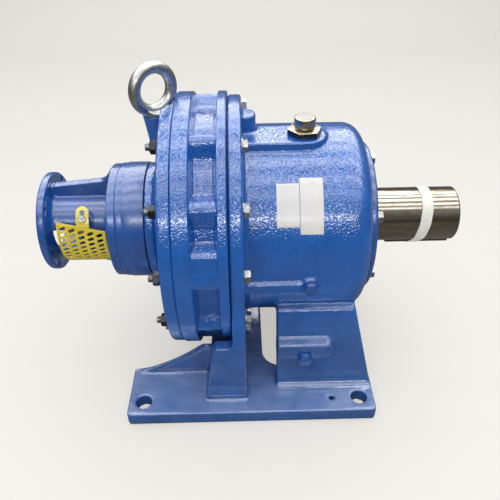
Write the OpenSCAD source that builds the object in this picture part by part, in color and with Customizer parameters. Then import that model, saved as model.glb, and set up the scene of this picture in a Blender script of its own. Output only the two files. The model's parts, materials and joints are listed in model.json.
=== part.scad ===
// Foot mounted two-stage cycloidal reducer with a keyed output shaft.
// X runs along the shafts towards the output end, Z is up, and the origin is
// the centre of the foot hole pattern on the floor.

/* [Foot] */
// Height of the shaft axis over the floor
axis_h = 220; // [214:1:270]
// Length of the foot along the shaft
foot_l = 360; // [340:1:440]
// Width of the foot across the shaft
foot_w = 418; // [410:1:500]
// Thickness of the foot plate
foot_t = 21.5; // [16:0.5:28]
// Width of each foot rail
rail_w = 89; // [84:1:106]
// Foot hole spacing along the shaft
foot_hole_l = 315; // [290:1:320]
// Foot hole spacing across the shaft
foot_hole_w = 370; // [350:1:380]
// Diameter of the four foot holes
foot_hole_d = 22; // [14:1:28]
// Thickness of the leg walls
leg_t = 16; // [12:1:24]

/* [Casing] */
// Place of the joint between ring gear and casing along the shaft
seam_x = -25; // [-30:0.5:-15]
// Length of the casing from that joint to its output end face
case_l = 189.5; // [186:0.5:228]
// Thickness of the casing flange
case_flange_t = 18.5; // [14:0.5:24]
// Radius of the barrel
barrel_r = 138.2; // [128:0.1:150]
// Round at the output end of the barrel
barrel_round = 26; // [8:1:30]
// Height of the vent pad over the shaft axis
pad_h = 142; // [140:1:165]

/* [Second stage] */
// Radius of the pin circle of the second stage
pin_pitch_2 = 140; // [116:0.1:146]
// Diameter of the second-stage ring pins
ring_pin_d_2 = 24; // [18:1:26]
// Throw of the second-stage eccentrics
throw_2 = 6; // [4.5:0.1:7]
// Thickness of each second-stage cycloid disc
disc_w_2 = 20; // [16:0.1:26]
// Free space beside the second-stage discs
end_gap_2 = 12; // [10:0.5:18]
// Diameter of the second-stage carrier pins
carrier_pin_d_2 = 24; // [18:1:28]
// Wall between the ring pins and the channel floor
ring_wall_2 = 11; // [9:0.5:16]
// Depth of the channel round the ring gear
channel_depth = 22; // [12:1:26]

/* [First stage] */
// Radius of the pin circle of the first stage
pin_pitch_1 = 62; // [58:0.1:75]
// Diameter of the first-stage ring pins
ring_pin_d_1 = 10; // [8:0.5:11]
// Throw of the first-stage eccentrics
throw_1 = 2.8; // [2:0.1:3.2]
// Thickness of each first-stage cycloid disc
disc_w_1 = 10; // [8:0.1:14]
// Free space beside the first-stage discs
end_gap_1 = 4; // [3:0.5:8]
// Diameter of the first-stage carrier pins
carrier_pin_d_1 = 9; // [7:0.5:10]
// Wall outside the first-stage ring pins
ring_wall_1 = 18; // [16:0.5:24]

/* [Covers] */
// Thickness of the middle cover plate
plate_t = 17.5; // [14:0.5:22]
// Length of the neck of the middle cover
neck_l = 19; // [19:0.5:28]
// Length of the collar of the middle cover
collar_l = 12; // [12:0.5:18]
// Thickness of the input cover
input_cover_t = 9; // [8:0.5:14]
// Radius of the output cover
output_cover_r = 109.7; // [106:0.1:116]
// Rim thickness of the output cover
output_rim_t = 8; // [6:0.5:12]

/* [Motor adapter] */
// Radius of the motor flange
motor_flange_r = 73; // [73:0.5:90]
// Thickness of the motor flange
motor_flange_t = 11; // [9:0.5:16]
// Pitch circle of the motor screws
motor_bolt_pcd = 130; // [126:1:132]
// Diameter of the motor screw holes
motor_hole_d = 9; // [7:0.5:10]
// Diameter of the motor pilot recess
pilot_d = 110; // [100:1:112]
// Free length between motor flange and hub
lantern_l = 88.5; // [84:0.5:120]
// Radius of the adapter tube
tube_r = 46; // [42:0.5:50]
// Thickness of the hub behind the tube
hub_t = 12.5; // [11:0.5:18]

/* [Shafts] */
// Diameter of the hollow input bore
input_bore_d = 28; // [24:1:28]
// Width of the input keyway
input_key_w = 8; // [6:1:8]
// Diameter of the output shaft
shaft_d = 80; // [66:0.1:96]
// Place of the output shaft end along the shaft
shaft_end_x = 311; // [300:1:380]
// Width of the output key
key_w = 22; // [18:1:25]
// Height of the output key
key_h = 14; // [11:1:14]
// Length of the output key
key_l = 98; // [60:1:98]

/* [Guard and fittings] */
// Radius of the guard sheet
guard_r = 59; // [56:0.5:64]
// Thickness of the guard sheet
guard_t = 1.5; // [1:0.1:2]
// Length of the guard along the shaft
guard_l = 68; // [60:1:72]
// Across flats of the vent plug
vent_af = 41; // [32:1:46]
// Outer diameter of the lifting eye
eye_d = 72; // [63:1:72]
// Wire thickness of the lifting eye
eye_wire = 16; // [12:1:17]

/* [Hidden] */
$fn = 72;

// Colours of the finished product
paint = [0.16, 0.36, 0.66];
steel = [0.66, 0.66, 0.64];
dark_steel = [0.25, 0.25, 0.26];
zinc = [0.80, 0.82, 0.80];

// Clearances: running fit of a shaft, gap of a roller, free side gap
run = 0.05;
roll = 0.2;
side = 0.3;

// Numbers that the gearing fixes: lobes of every disc, carrier pins
lobes = 11;
ring_pins = lobes + 1;
carriers = 8;
gasket_t = 1;
disc_gap_2 = 4;
disc_gap_1 = 2;

// Radii of the second stage, from the pin circle
ring_pin_r_2 = ring_pin_d_2 / 2;
floor_r = pin_pitch_2 + ring_pin_r_2 + ring_wall_2;
ring_r_2 = floor_r + channel_depth;
ring_bore_2 = pin_pitch_2 + 1;
plate_r = ring_r_2 - 1.7;
flange_r = ring_r_2 - 5.5;
case_bore_r = pin_pitch_2 - ring_pin_r_2 - 6;
eccentric_r_2 = 38;
eccentric_roller_r_2 = 5;
eccentric_pitch_2 = eccentric_r_2 + eccentric_roller_r_2 + roll;
disc_bore_2 = eccentric_pitch_2 + eccentric_roller_r_2 + roll;
root_2 = pin_pitch_2 - ring_pin_r_2 - throw_2;
carrier_pitch_2 = (disc_bore_2 + root_2) / 2;
carrier_roller_r_2 = carrier_pin_d_2 / 2 + 5;
output_flange_r = case_bore_r - 10;

// Radii of the first stage
ring_pin_r_1 = ring_pin_d_1 / 2;
hub_r = pin_pitch_1 + ring_pin_r_1 + ring_wall_1;
ring_bore_1 = pin_pitch_1 + 0.4;
eccentric_r_1 = 19.5;
eccentric_roller_r_1 = 2.5;
eccentric_pitch_1 = eccentric_r_1 + eccentric_roller_r_1 + roll;
disc_bore_1 = eccentric_pitch_1 + eccentric_roller_r_1 + roll;
root_1 = pin_pitch_1 - ring_pin_r_1 - throw_1;
carrier_pitch_1 = (disc_bore_1 + root_1) / 2;
carrier_roller_r_1 = carrier_pin_d_1 / 2 + 2;
carrier_flange_r_1 = carrier_pitch_1 + carrier_pin_d_1 / 2 + 5;

// Stations along the shaft, worked out from the casing joint towards the motor
case_end_x = seam_x + case_l;
case_face_x = seam_x + case_flange_t;
ring2_w = 2 * disc_w_2 + disc_gap_2 + 2 * end_gap_2;
ring2_x1 = seam_x - gasket_t;
ring2_x0 = ring2_x1 - ring2_w;
stage2_x = (ring2_x0 + ring2_x1) / 2;
plate_x0 = ring2_x0 - plate_t;
collar_x1 = plate_x0 - neck_l;
collar_x0 = collar_x1 - collar_l;
ring1_w = 2 * disc_w_1 + disc_gap_1 + 2 * end_gap_1;
ring1_x1 = collar_x0 - gasket_t;
ring1_x0 = ring1_x1 - ring1_w;
stage1_x = (ring1_x0 + ring1_x1) / 2;
cover1_x0 = ring1_x0 - input_cover_t;
hub_x0 = cover1_x0 - hub_t;
motor_x1 = hub_x0 - lantern_l;
motor_x0 = motor_x1 - motor_flange_t;
stage2_half = disc_gap_2 / 2 + disc_w_2;
stage1_half = disc_gap_1 / 2 + disc_w_1;

// Casing bolts: one at the bottom and five up each side, clear of the boss
bolt_step = 30;
bolts_side = 5;
bolt_r = floor_r + 2;
bolt_d = 10;
bolt_first = 35.5;
bolt_angles = concat([-90], [for (k = [0:bolts_side - 1], s = [-1, 1])
    -90 + s * (bolt_first + k * bolt_step)]);

// Lifting boss on the middle cover
eye_x = plate_x0 - 9;
eye_seat = plate_r - 15.3;
eye_turn = 40;
eye_rise = eye_d / 2 - 4;
eye_collar_r = 18;
eye_collar_h = 11;

// Output flange and shaft
shaft_r = shaft_d / 2;
out_flange_x0 = stage2_x + stage2_half + 5;
out_flange_t = 22;
out_flange_x1 = out_flange_x0 + out_flange_t;

// Rear and front output bearings: [bore, race, roller radius, outer race, start, width]
rear_x0 = out_flange_x1 + 4.5;
rear_w = 32;
rear_r = shaft_r + 20;
rear_race = 7;
rear_roller_r = 8;
rear_outer_r = rear_r + rear_race + 2 * rear_roller_r + 2 * roll + 11.6;
front_w = 26;
front_x0 = case_end_x - 51.5;
front_r = shaft_r + 5;
front_race = 6;
front_roller_r = 5.8;
front_outer_r = front_r + front_race + 2 * front_roller_r + 2 * roll + 9;

// Middle bearing on the intermediate shaft
middle_w = 18;
middle_x1 = plate_x0 - 1;
middle_x0 = middle_x1 - middle_w;
middle_r = 30;
middle_race = 5;
middle_roller_r = 3.6;
middle_outer_r = middle_r + 2 * middle_race + 2 * middle_roller_r + 2 * roll;
mid_flange_x0 = stage1_x + stage1_half + 3;
mid_flange_t = 10;
mid_flange_x1 = mid_flange_x0 + mid_flange_t;

// Input shaft and its bearing
input_r = input_bore_d / 2 + 6;
quill_r = input_r + 3;
input_w = 15;
input_x1 = ring1_x0 - 2;
input_x0 = input_x1 - input_w;
input_race = 4;
input_roller_r = 2.8;
input_outer_r = input_r + 2 * input_race + 2 * input_roller_r + 2 * roll;
quill_x0 = motor_x1 + 11;
quill_x1 = input_x0 - 7;
seal_1_r = input_r + 8;
sleeve_1_r = 15;
sleeve_2_r = 26;
pilot_1_r = 9;
pilot_1_roller = 2;
pilot_1_bore = pilot_1_r + 2 * pilot_1_roller + 2 * roll;
pilot_2_r = 20;
pilot_2_roller = 3.4;
pilot_2_bore = pilot_2_r + 2 * pilot_2_roller + 2 * roll;

// Output cover fastening
cover_screws = 6;
cover_screw_r = (output_cover_r + front_outer_r + 6) / 2;
cover_nose_r = shaft_r + 12;
seal_2_r = shaft_r + 10;
nose_l = 14;

// Leg and column of the casing
bay_w = foot_w - 2 * rail_w;
leg_x0 = case_face_x + 45;
foot_x1 = foot_l / 2;
vent_x = 78;
vent_y = -17;
vent_pad_r = 30;
level_x = 81.5;
level_z = axis_h - 22;
level_face_y = barrel_r + 5.8;
level_boss_r = 12;
level_rib_half = 8.5;
level_rib_z = level_z - 2.5;
drain_x = 78.5;
drain_z = foot_t + 53;

// ---------- shared shapes ----------

// Puts children drawn in the plane across the shaft at a place along it
module along(x = 0) {
    translate([x, 0, axis_h]) rotate([90, 0, 90]) children();
}

// Ring or disc section between two radii and two stations, for turning
module band(r0, r1, x0, x1) {
    translate([r0, x0]) square([r1 - r0, x1 - x0]);
}

// Turned ring about the shaft axis
module ring(r0, r1, x0, x1) {
    along(x0) difference() {
        cylinder(r = r1, h = x1 - x0);
        translate([0, 0, -1]) cylinder(r = r0, h = x1 - x0 + 2);
    }
}

module disc(r, x0, x1) {
    along(x0) cylinder(r = r, h = x1 - x0);
}

// Equal rollers round a centre
module roller_set(count, pitch, r, x0, x1, first = 0) {
    along(x0) for (k = [0:count - 1])
        rotate(first + k * 360 / count) translate([pitch, 0, 0])
            cylinder(r = r, h = x1 - x0, $fn = 24);
}

// Holes on a circle through a span of stations
module hole_set(angles, pitch, r, x0, x1) {
    along(x0) for (a = angles)
        rotate(a) translate([pitch, 0, 0]) cylinder(r = r, h = x1 - x0, $fn = 32);
}

module hex_prism(af, h) {
    cylinder(r = af / sqrt(3), h = h, $fn = 6);
}

// Rectangle with four round corners
module round_plate(l, w, r) {
    square([l - 2 * r, w], center = true);
    square([l, w - 2 * r], center = true);
    for (sx = [-1, 1], sy = [-1, 1])
        translate([sx * (l / 2 - r), sy * (w / 2 - r)]) circle(r);
}

// Slot of width w and overall length l
module slot_shape(l, w) {
    square([l - w, w], center = true);
    for (s = [-1, 1]) translate([s * (l - w) / 2, 0]) circle(w / 2, $fn = 24);
}

// ---------- cycloid discs ----------

// Rim of a cycloid disc that runs inside the ring pins, t in degrees
function cycloid(t, pitch, pin_r, throw) =
    let (psi = atan2(-sin(lobes * t), pitch / (throw * ring_pins) - cos(lobes * t)))
    [pitch * cos(t) - pin_r * cos(t + psi) - throw * cos(ring_pins * t),
     -pitch * sin(t) + pin_r * sin(t + psi) + throw * sin(ring_pins * t)];

rim_steps = 264;
rim_gap = 0.25;

module cycloid_disc(pitch, pin_r, throw, bore_r, hole_pitch, hole_r, w) {
    difference() {
        linear_extrude(w) difference() {
            polygon([for (k = [0:rim_steps - 1])
                cycloid(k * 360 / rim_steps, pitch, pin_r + rim_gap, throw)]);
            circle(bore_r);
        }
        for (k = [0:carriers - 1])
            rotate(k * 360 / carriers) translate([hole_pitch, 0, -1])
                cylinder(r = hole_r, h = w + 2);
    }
}

module disc_1(x0, half_turn) {
    along(x0) rotate(half_turn) translate([throw_1, 0, 0])
        cycloid_disc(pin_pitch_1, ring_pin_r_1, throw_1, disc_bore_1, carrier_pitch_1,
            carrier_roller_r_1 + throw_1 + rim_gap, disc_w_1);
}

module disc_2(x0, half_turn) {
    along(x0) rotate(half_turn) translate([throw_2, 0, 0])
        cycloid_disc(pin_pitch_2, ring_pin_r_2, throw_2, disc_bore_2, carrier_pitch_2,
            carrier_roller_r_2 + throw_2 + rim_gap, disc_w_2);
}

// ---------- casing ----------

module casing_section() {
    difference() {
        union() {
            band(0, flange_r, seam_x, case_face_x);
            difference() {
                band(0, barrel_r, seam_x, case_end_x);
                translate([barrel_r - barrel_round, case_end_x - barrel_round]) difference() {
                    square(barrel_round + 1);
                    circle(barrel_round);
                }
            }
            translate([barrel_r - 1, case_face_x - 1]) difference() {
                square(9);
                translate([9, 9]) circle(8);
            }
        }
        band(-1, case_bore_r, seam_x - 1, out_flange_x1 + 2);
        band(-1, rear_outer_r, seam_x, rear_x0 + rear_w);
        band(-1, rear_outer_r - 7, seam_x, rear_x0 + rear_w + 8);
        band(-1, barrel_r - 23, rear_x0 + rear_w + 8, front_x0 - 9);
        band(-1, front_outer_r - 8, front_x0 - 10, case_end_x);
        band(-1, front_outer_r, front_x0, case_end_x + 1);
    }
}

// Open bay in the foot plate with two round inner corners, drawn towards +X from 0
module foot_bay(l) {
    bay_round = 30;
    translate([bay_round, -bay_w / 2]) square([l - bay_round, bay_w]);
    translate([0, bay_round - bay_w / 2]) square([l, bay_w - 2 * bay_round]);
    for (v = [-1, 1]) translate([bay_round, v * (bay_w / 2 - bay_round)]) circle(bay_round);
}

// Foot plate seen from above: two rails and the cross plate between them
module foot_plan() {
    bay_x0 = seam_x - 38;
    bay_x1 = case_face_x + 26;
    difference() {
        round_plate(foot_l, foot_w, 7);
        translate([bay_x0, 0]) mirror([1, 0]) foot_bay(bay_x0 + foot_l / 2 + 5);
        translate([bay_x1, 0]) foot_bay(foot_l / 2 + 5 - bay_x1);
    }
}

// Outline of the flange and the column below it, across the shaft
module column_front() {
    circle(flange_r);
    translate([0, -axis_h]) polygon([
        [-flange_r - 5, 0], [flange_r + 5, 0],
        [flange_r + 4, foot_t], [flange_r, axis_h], [-flange_r, axis_h],
        [-flange_r - 4, foot_t]]);
}

// Wide lower part of the column, seen along the foot
module column_side() {
    ledge_h = axis_h - 98;
    ledge_x = seam_x - 27;
    polygon([
        [seam_x - 39.5, 0], [seam_x - 39.5, foot_t + 6], [ledge_x, ledge_h - 6],
        [ledge_x + 3, ledge_h], [seam_x - 6, ledge_h], [seam_x, ledge_h + 6],
        [seam_x + 8, ledge_h + 6], [seam_x + 8, 0]]);
}

// Section of one leg wall across the shaft, from floor to barrel
leg_round = 12;
leg_foot_y = 0.75 * barrel_r + 54;
leg_top_y = barrel_r - 7;
leg_top_z = axis_h - 73;

module leg_section() {
    bend_z = leg_top_z - leg_round;
    polygon([
        [leg_foot_y + 3, 0], [leg_foot_y + 3, foot_t], [leg_foot_y + 11, foot_t],
        [leg_foot_y + 3, foot_t + 3], [leg_foot_y - 1.5, foot_t + 10], [leg_top_y, bend_z],
        [leg_top_y - leg_round, leg_top_z], [leg_top_y - leg_t - 30, leg_top_z],
        [leg_top_y - leg_t - 6, leg_top_z - 30], [leg_foot_y - leg_t - 2, foot_t + 8],
        [leg_foot_y - leg_t - 9, foot_t], [leg_foot_y - leg_t - 9, 0]]);
    translate([leg_top_y - leg_round, bend_z]) circle(leg_round);
}

// Side view of the legs, between the window and the sloping output edge
module leg_side() {
    polygon([
        [leg_x0, 0], [leg_x0, axis_h - 40], [case_end_x - 22, axis_h - 40],
        [foot_x1 - 3, foot_t + 8], [foot_x1 - 1, foot_t], [foot_x1 - 1, 0]]);
}

// Hollow curve over the ribs on the motor side of the foot
module rib_side() {
    curve_r = 280;
    difference() {
        translate([-foot_x1 + 6, 0]) square([foot_x1 - 6 + seam_x + 4, axis_h - 96]);
        translate([seam_x - 228, foot_t + 268.5]) circle(curve_r, $fn = 180);
    }
}

module foot_solid() {
    linear_extrude(foot_t) foot_plan();
    // column wall under the flange
    along(seam_x) linear_extrude(case_flange_t) column_front();
    // wide columns at both sides, below the ledge
    intersection() {
        translate([0, foot_w / 2, 0]) rotate([90, 0, 0])
            linear_extrude(foot_w) column_side();
        along(seam_x - 60) linear_extrude(90) difference() {
            column_front();
            square([2 * (bay_w / 2 + 8), 4 * axis_h], center = true);
        }
    }
    for (s = [-1, 1]) {
        // leg walls
        intersection() {
            translate([leg_x0 - 1, 0, 0]) rotate([90, 0, 90]) linear_extrude(foot_l)
                mirror([s < 0 ? 1 : 0, 0]) leg_section();
            translate([0, foot_w / 2, 0]) rotate([90, 0, 0])
                linear_extrude(foot_w) leg_side();
        }
        // ribs towards the motor
        translate([0, s * (bay_w / 2 + 6) + 4, 0]) rotate([90, 0, 0])
            linear_extrude(8) rib_side();
    }
}

// Rib with a drafted face and a round end, drawn flat and standing along +Z
module round_rib(length, half, height, draft) {
    rotate([90, 0, 90]) linear_extrude(length)
        polygon([[-half, 0], [half, 0], [half - draft, height], [draft - half, height]]);
    translate([length, 0, 0])
        rotate_extrude() polygon([[0, 0], [half, 0], [half - draft, height], [0, height]]);
}

// Narrow rib on both sides of the barrel, ending in the boss of the level plug
module level_pad() {
    root_y = barrel_r - 14;
    for (s = [-1, 1]) {
        translate([case_face_x - 1, s * root_y, level_rib_z]) rotate([s < 0 ? 90 : -90, 0, 0])
            round_rib(level_x - case_face_x + 1, level_rib_half, level_face_y - root_y, 0.5);
        translate([level_x, s * root_y, level_z]) rotate([s < 0 ? 90 : -90, 0, 0])
            cylinder(r = level_boss_r, h = level_face_y - root_y);
    }
}

// Drafted rib low on the legs, for the drain plug
drain_rib_h = 36;
drain_face_y = 0.75 * barrel_r + 51;

module drain_pad() {
    for (s = [-1, 1]) translate([leg_x0, s * (drain_face_y - drain_rib_h), foot_t + 62.5])
        rotate([s < 0 ? 90 : -90, 0, 0])
            round_rib(foot_x1 - 72 - leg_x0, 25, drain_rib_h, 13);
}

module casing() {
    color(paint) difference() {
        union() {
            along() rotate_extrude($fn = 144) casing_section();
            difference() {
                union() {
                    foot_solid();
                    level_pad();
                    drain_pad();
                    // vent pad and spare lifting boss on top
                    translate([vent_x, vent_y, axis_h + 60]) cylinder(r = vent_pad_r, h = pad_h - 60);
                    translate([seam_x + 4, vent_y - vent_pad_r, axis_h + 60])
                        cube([vent_x - seam_x - 4, 2 * vent_pad_r, pad_h - 60]);
                    translate([case_face_x + 2, 0, axis_h + 60])
                        cylinder(r = 17.5, h = flange_r - 13.5 - 60);
                }
                // the foot and the pads stay outside the inner space
                along() rotate_extrude() {
                    band(0, case_bore_r + 2, seam_x - 1, case_face_x);
                    band(0, barrel_r - 11, case_face_x - 1, case_end_x - 20);
                }
                // room for the ring gear and the middle cover
                along(plate_x0 - 6) cylinder(r = ring_r_2 + 5, h = seam_x - plate_x0 + 6);
            }
        }
        // foot holes and the small dowel hole beside one of them
        for (sx = [-1, 1], sy = [-1, 1])
            translate([sx * foot_hole_l / 2, sy * foot_hole_w / 2, -1])
                cylinder(d = foot_hole_d, h = foot_t + 2);
        translate([foot_hole_l / 2 - 40, -foot_hole_w / 2, -1])
            cylinder(d = 8, h = foot_t + 2, $fn = 32);
        // casing bolts, with flats for their heads
        hole_set(bolt_angles, bolt_r, bolt_d / 2 + 0.5, seam_x - 1, case_face_x + 1);
        hole_set(bolt_angles, bolt_r, 11, case_face_x, case_face_x + 16);
        // cover screws
        hole_set([for (k = [0:cover_screws - 1]) 30 + k * 360 / cover_screws],
            cover_screw_r, 5, case_end_x - 24, case_end_x + 1);
        // vent, level and drain bores
        translate([vent_x, vent_y, axis_h + 90]) cylinder(d = 26, h = 80);
        translate([level_x, -barrel_r, level_z]) rotate([90, 0, 0])
            cylinder(d = plug_d, h = 60, center = true);
        translate([drain_x, -drain_face_y, drain_z]) rotate([90, 0, 0])
            cylinder(d = plug_d, h = 44, center = true);
    }
}

// ---------- second-stage housing ----------

// Boss in the channel, wide at its root
module lug_shape(crest, root) {
    polygon([[floor_r - 5, -root], [ring_r_2 + 2, -crest], [ring_r_2 + 2, crest],
        [floor_r - 5, root]]);
}

// Bosses round the casing bolts, and one wide boss on the near side
module lug_plan() {
    intersection() {
        circle(ring_r_2 - 2.5, $fn = 144);
        union() {
            for (a = bolt_angles) rotate(a) lug_shape(12, 18);
            rotate(180 - 11.4) lug_shape(25, 31);
        }
    }
}

module ring_gear_2() {
    lip_left = 0.345 * ring2_w;
    lip_right = 0.18 * ring2_w;
    draft = 5.6;
    color(paint) difference() {
        union() {
            along() rotate_extrude($fn = 144) difference() {
                band(ring_bore_2, ring_r_2, ring2_x0, ring2_x1);
                polygon([
                    [floor_r, ring2_x0 + lip_left + draft], [ring_r_2 + 1, ring2_x0 + lip_left],
                    [ring_r_2 + 1, ring2_x1 - lip_right], [floor_r, ring2_x1 - lip_right - draft]]);
            }
            along(ring2_x0 + lip_left - 1) linear_extrude(ring2_w - lip_left - lip_right + 2)
                lug_plan();
        }
        hole_set([for (k = [0:ring_pins - 1]) k * 360 / ring_pins], pin_pitch_2,
            ring_pin_r_2 + run, ring2_x0 - 1, ring2_x1 + 1);
        hole_set(bolt_angles, bolt_r, bolt_d / 2 + 0.5, ring2_x0 - 1, ring2_x1 + 1);
    }
}

module ring_pins_2() {
    color(steel) roller_set(ring_pins, pin_pitch_2, ring_pin_r_2,
        ring2_x0 + run, ring2_x1 - run);
}

// Cover between the stages: plate, neck and collar with the middle bearing seat
module middle_cover() {
    neck_r = hub_r - 4;
    fillet = 9;
    color(paint) difference() {
        union() {
            along() rotate_extrude($fn = 144) difference() {
                union() {
                    difference() {
                        band(0, plate_r, plate_x0, ring2_x0);
                        translate([plate_r - 3, plate_x0 + 3]) difference() {
                            translate([0, -4]) square(4);
                            circle(3);
                        }
                    }
                    band(0, neck_r, collar_x1 - 1, plate_x0 + 1);
                    band(0, hub_r, collar_x0, collar_x1);
                    translate([neck_r - 1, plate_x0 - fillet]) difference() {
                        square(fillet + 1);
                        translate([fillet + 1, 0]) circle(fillet);
                    }
                }
                band(-1, carrier_flange_r_1 + 4, collar_x0 - 1, middle_x0 - 0.5);
                band(-1, middle_outer_r, middle_x0 - 1, middle_x1);
                band(-1, middle_outer_r - 5, middle_x1 - 1, ring2_x0 + 1);
            }
            // lifting boss, wide at its top
            translate([eye_x, 0, axis_h + eye_seat - 45])
                cylinder(r1 = 12, r2 = 18, h = 45);
        }
        // spot face, thread bore and ring room of the lifting eye
        translate([eye_x, 0, axis_h + eye_seat]) cylinder(r = 22.5, h = 40);
        translate([eye_x, 0, axis_h + eye_seat + eye_rise]) rotate([90, 0, eye_turn])
            rotate_extrude($fn = 96) translate([(eye_d - eye_wire) / 2, 0])
                circle(eye_wire / 2 + 1, $fn = 32);
        translate([eye_x, 0, axis_h + eye_seat - 30]) cylinder(r = 10.05, h = 40);
        hole_set(bolt_angles, bolt_r, bolt_d / 2 + 0.5, plate_x0 - 1, ring2_x0 + 1);
        hole_set(adapter_angles, adapter_screw_r, 4, collar_x0 - 1, collar_x0 + 22);
        // small jacking hole in the rim
        along(plate_x0 + 7) rotate(180 - 48) translate([plate_r - 10, 0, 0])
            rotate([0, 90, 0]) cylinder(r = 2.5, h = 20, $fn = 24);
    }
}

// ---------- first-stage housing ----------

adapter_angles = [for (k = [0:5]) k * 60];
adapter_screw_r = (pin_pitch_1 + ring_pin_r_1 + hub_r) / 2;
adapter_screw_d = 8;

module ring_gear_1() {
    color(paint) difference() {
        ring(ring_bore_1, hub_r + 1, ring1_x0, ring1_x1);
        hole_set([for (k = [0:ring_pins - 1]) k * 360 / ring_pins], pin_pitch_1,
            ring_pin_r_1 + run, ring1_x0 - 1, ring1_x1 + 1);
        hole_set(adapter_angles, adapter_screw_r, adapter_screw_d / 2 + 0.3,
            ring1_x0 - 1, ring1_x1 + 1);
    }
}

module ring_pins_1() {
    color(steel) roller_set(ring_pins, pin_pitch_1, ring_pin_r_1,
        ring1_x0 + run, ring1_x1 - run);
}

module input_cover() {
    color(paint) difference() {
        along() rotate_extrude($fn = 96) difference() {
            union() {
                band(0, hub_r, cover1_x0, ring1_x0);
                band(0, input_outer_r + 10, input_x0 - 8, cover1_x0 + 1);
            }
            band(-1, input_outer_r, input_x0, ring1_x0 + 1);
            band(-1, seal_1_r, input_x0 - 9, input_x0 + 1);
        }
        hole_set(adapter_angles, adapter_screw_r, adapter_screw_d / 2 + 0.3,
            cover1_x0 - 1, ring1_x0 + 1);
    }
}

// ---------- motor adapter ----------

tube_wall = 7;
window_high = 14;
window_low = -60;

// Outline of one rib along the tube, rising into the hub
module rib_outline() {
    polygon([
        [motor_x1 - 4, tube_r - 6], [motor_x1 - 4, motor_flange_r - 11],
        [motor_x1 + 2, motor_flange_r - 11],
        [hub_x0 - 15, motor_flange_r - 4], [hub_x0 - 9, motor_flange_r - 2],
        [hub_x0 - 4, hub_r - 7], [hub_x0, hub_r - 0.5], [hub_x0 + 4, hub_r - 0.5],
        [hub_x0 + 4, tube_r - 6]]);
}

// Hollow round between the tube and a flange, in turning section
module tube_fillet(r, x, dir) {
    translate([tube_r - 1, x]) mirror([0, dir < 0 ? 1 : 0]) difference() {
        translate([0, -1]) square([r + 1, r + 1]);
        translate([r + 1, r]) circle(r);
    }
}

module motor_adapter() {
    color(paint) difference() {
        union() {
            along() rotate_extrude($fn = 96) {
                difference() {
                    band(0, motor_flange_r, motor_x0, motor_x1);
                    for (x = [motor_x0, motor_x1])
                        translate([motor_flange_r, x]) rotate(45) square(2, center = true);
                }
                band(0, tube_r, motor_x1 - 1, hub_x0 + 1);
                band(0, hub_r - 1, hub_x0, cover1_x0);
                tube_fillet(9, motor_x1, 1);
                tube_fillet(12, hub_x0, -1);
            }
            for (s = [-1, 1]) translate([0, 7, axis_h]) rotate([90, 0, 0])
                linear_extrude(14) mirror([0, s < 0 ? 1 : 0]) rib_outline();
            // bosses that carry the guard
            for (p = guard_screw_places) along(p[0]) rotate(180 - p[1]) rotate([0, 90, 0])
                cylinder(r = 7, h = guard_r - 0.6, $fn = 32);
        }
        // pilot recess and the space round the input shaft
        along() rotate_extrude($fn = 96) {
            band(0, pilot_d / 2, motor_x0 - 1, motor_x0 + 4.5);
            band(0, tube_r - tube_wall, motor_x0, hub_x0 - 2);
            band(0, input_outer_r + 10 + run, hub_x0 - 5, cover1_x0 + 1);
        }
        // motor screw holes
        hole_set([45, 135, 225, 315], motor_bolt_pcd / 2, motor_hole_d / 2,
            motor_x0 - 1, motor_x1 + 9);
        // access window for the clamp, low on the near side, behind the guard
        along(motor_x1 + 1) rotate(180 - window_high) rotate_extrude(angle = window_high - window_low)
            translate([tube_r - tube_wall - 6, 0]) square([20, lantern_l - 18]);
        // sunk screws that hold the adapter to the first stage
        hole_set(adapter_angles, adapter_screw_r, adapter_screw_d / 2 + 0.3,
            hub_x0 - 1, cover1_x0 + 1);
        hole_set(adapter_angles, adapter_screw_r, 7, hub_x0 - 20, cover1_x0 - 4);
        for (p = guard_screw_places) along(p[0]) rotate(180 - p[1]) rotate([0, 90, 0])
            cylinder(r = 2.55, h = guard_r + 10, $fn = 24);
    }
}

// ---------- guard ----------

guard_x1 = hub_x0 - 7.5;
guard_x0 = guard_x1 - guard_l;
guard_low = -82;
guard_high = 30;
guard_cut = 16;
tab_x = guard_x1 - 31;
tab_high = 52;
tab_w = 18;
// Guard screws: place along the shaft and angle above the near side
guard_screw_places = [[tab_x, 34], [guard_x1 - 13, -73]];

// Children drawn flat at a place along the shaft and an angle above the near side
module guard_place(x, angle, r0 = guard_r - 4, h = 10) {
    along(x) rotate(180 - angle) translate([r0, 0, 0]) rotate([90, 0, 90])
        linear_extrude(h) children();
}

// Bent sheet between two angles above the near side
module guard_sheet(low, high, x0, x1) {
    along(x0) rotate(180 - high) rotate_extrude(angle = high - low)
        translate([guard_r, 0]) square([guard_t, x1 - x0]);
}

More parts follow.
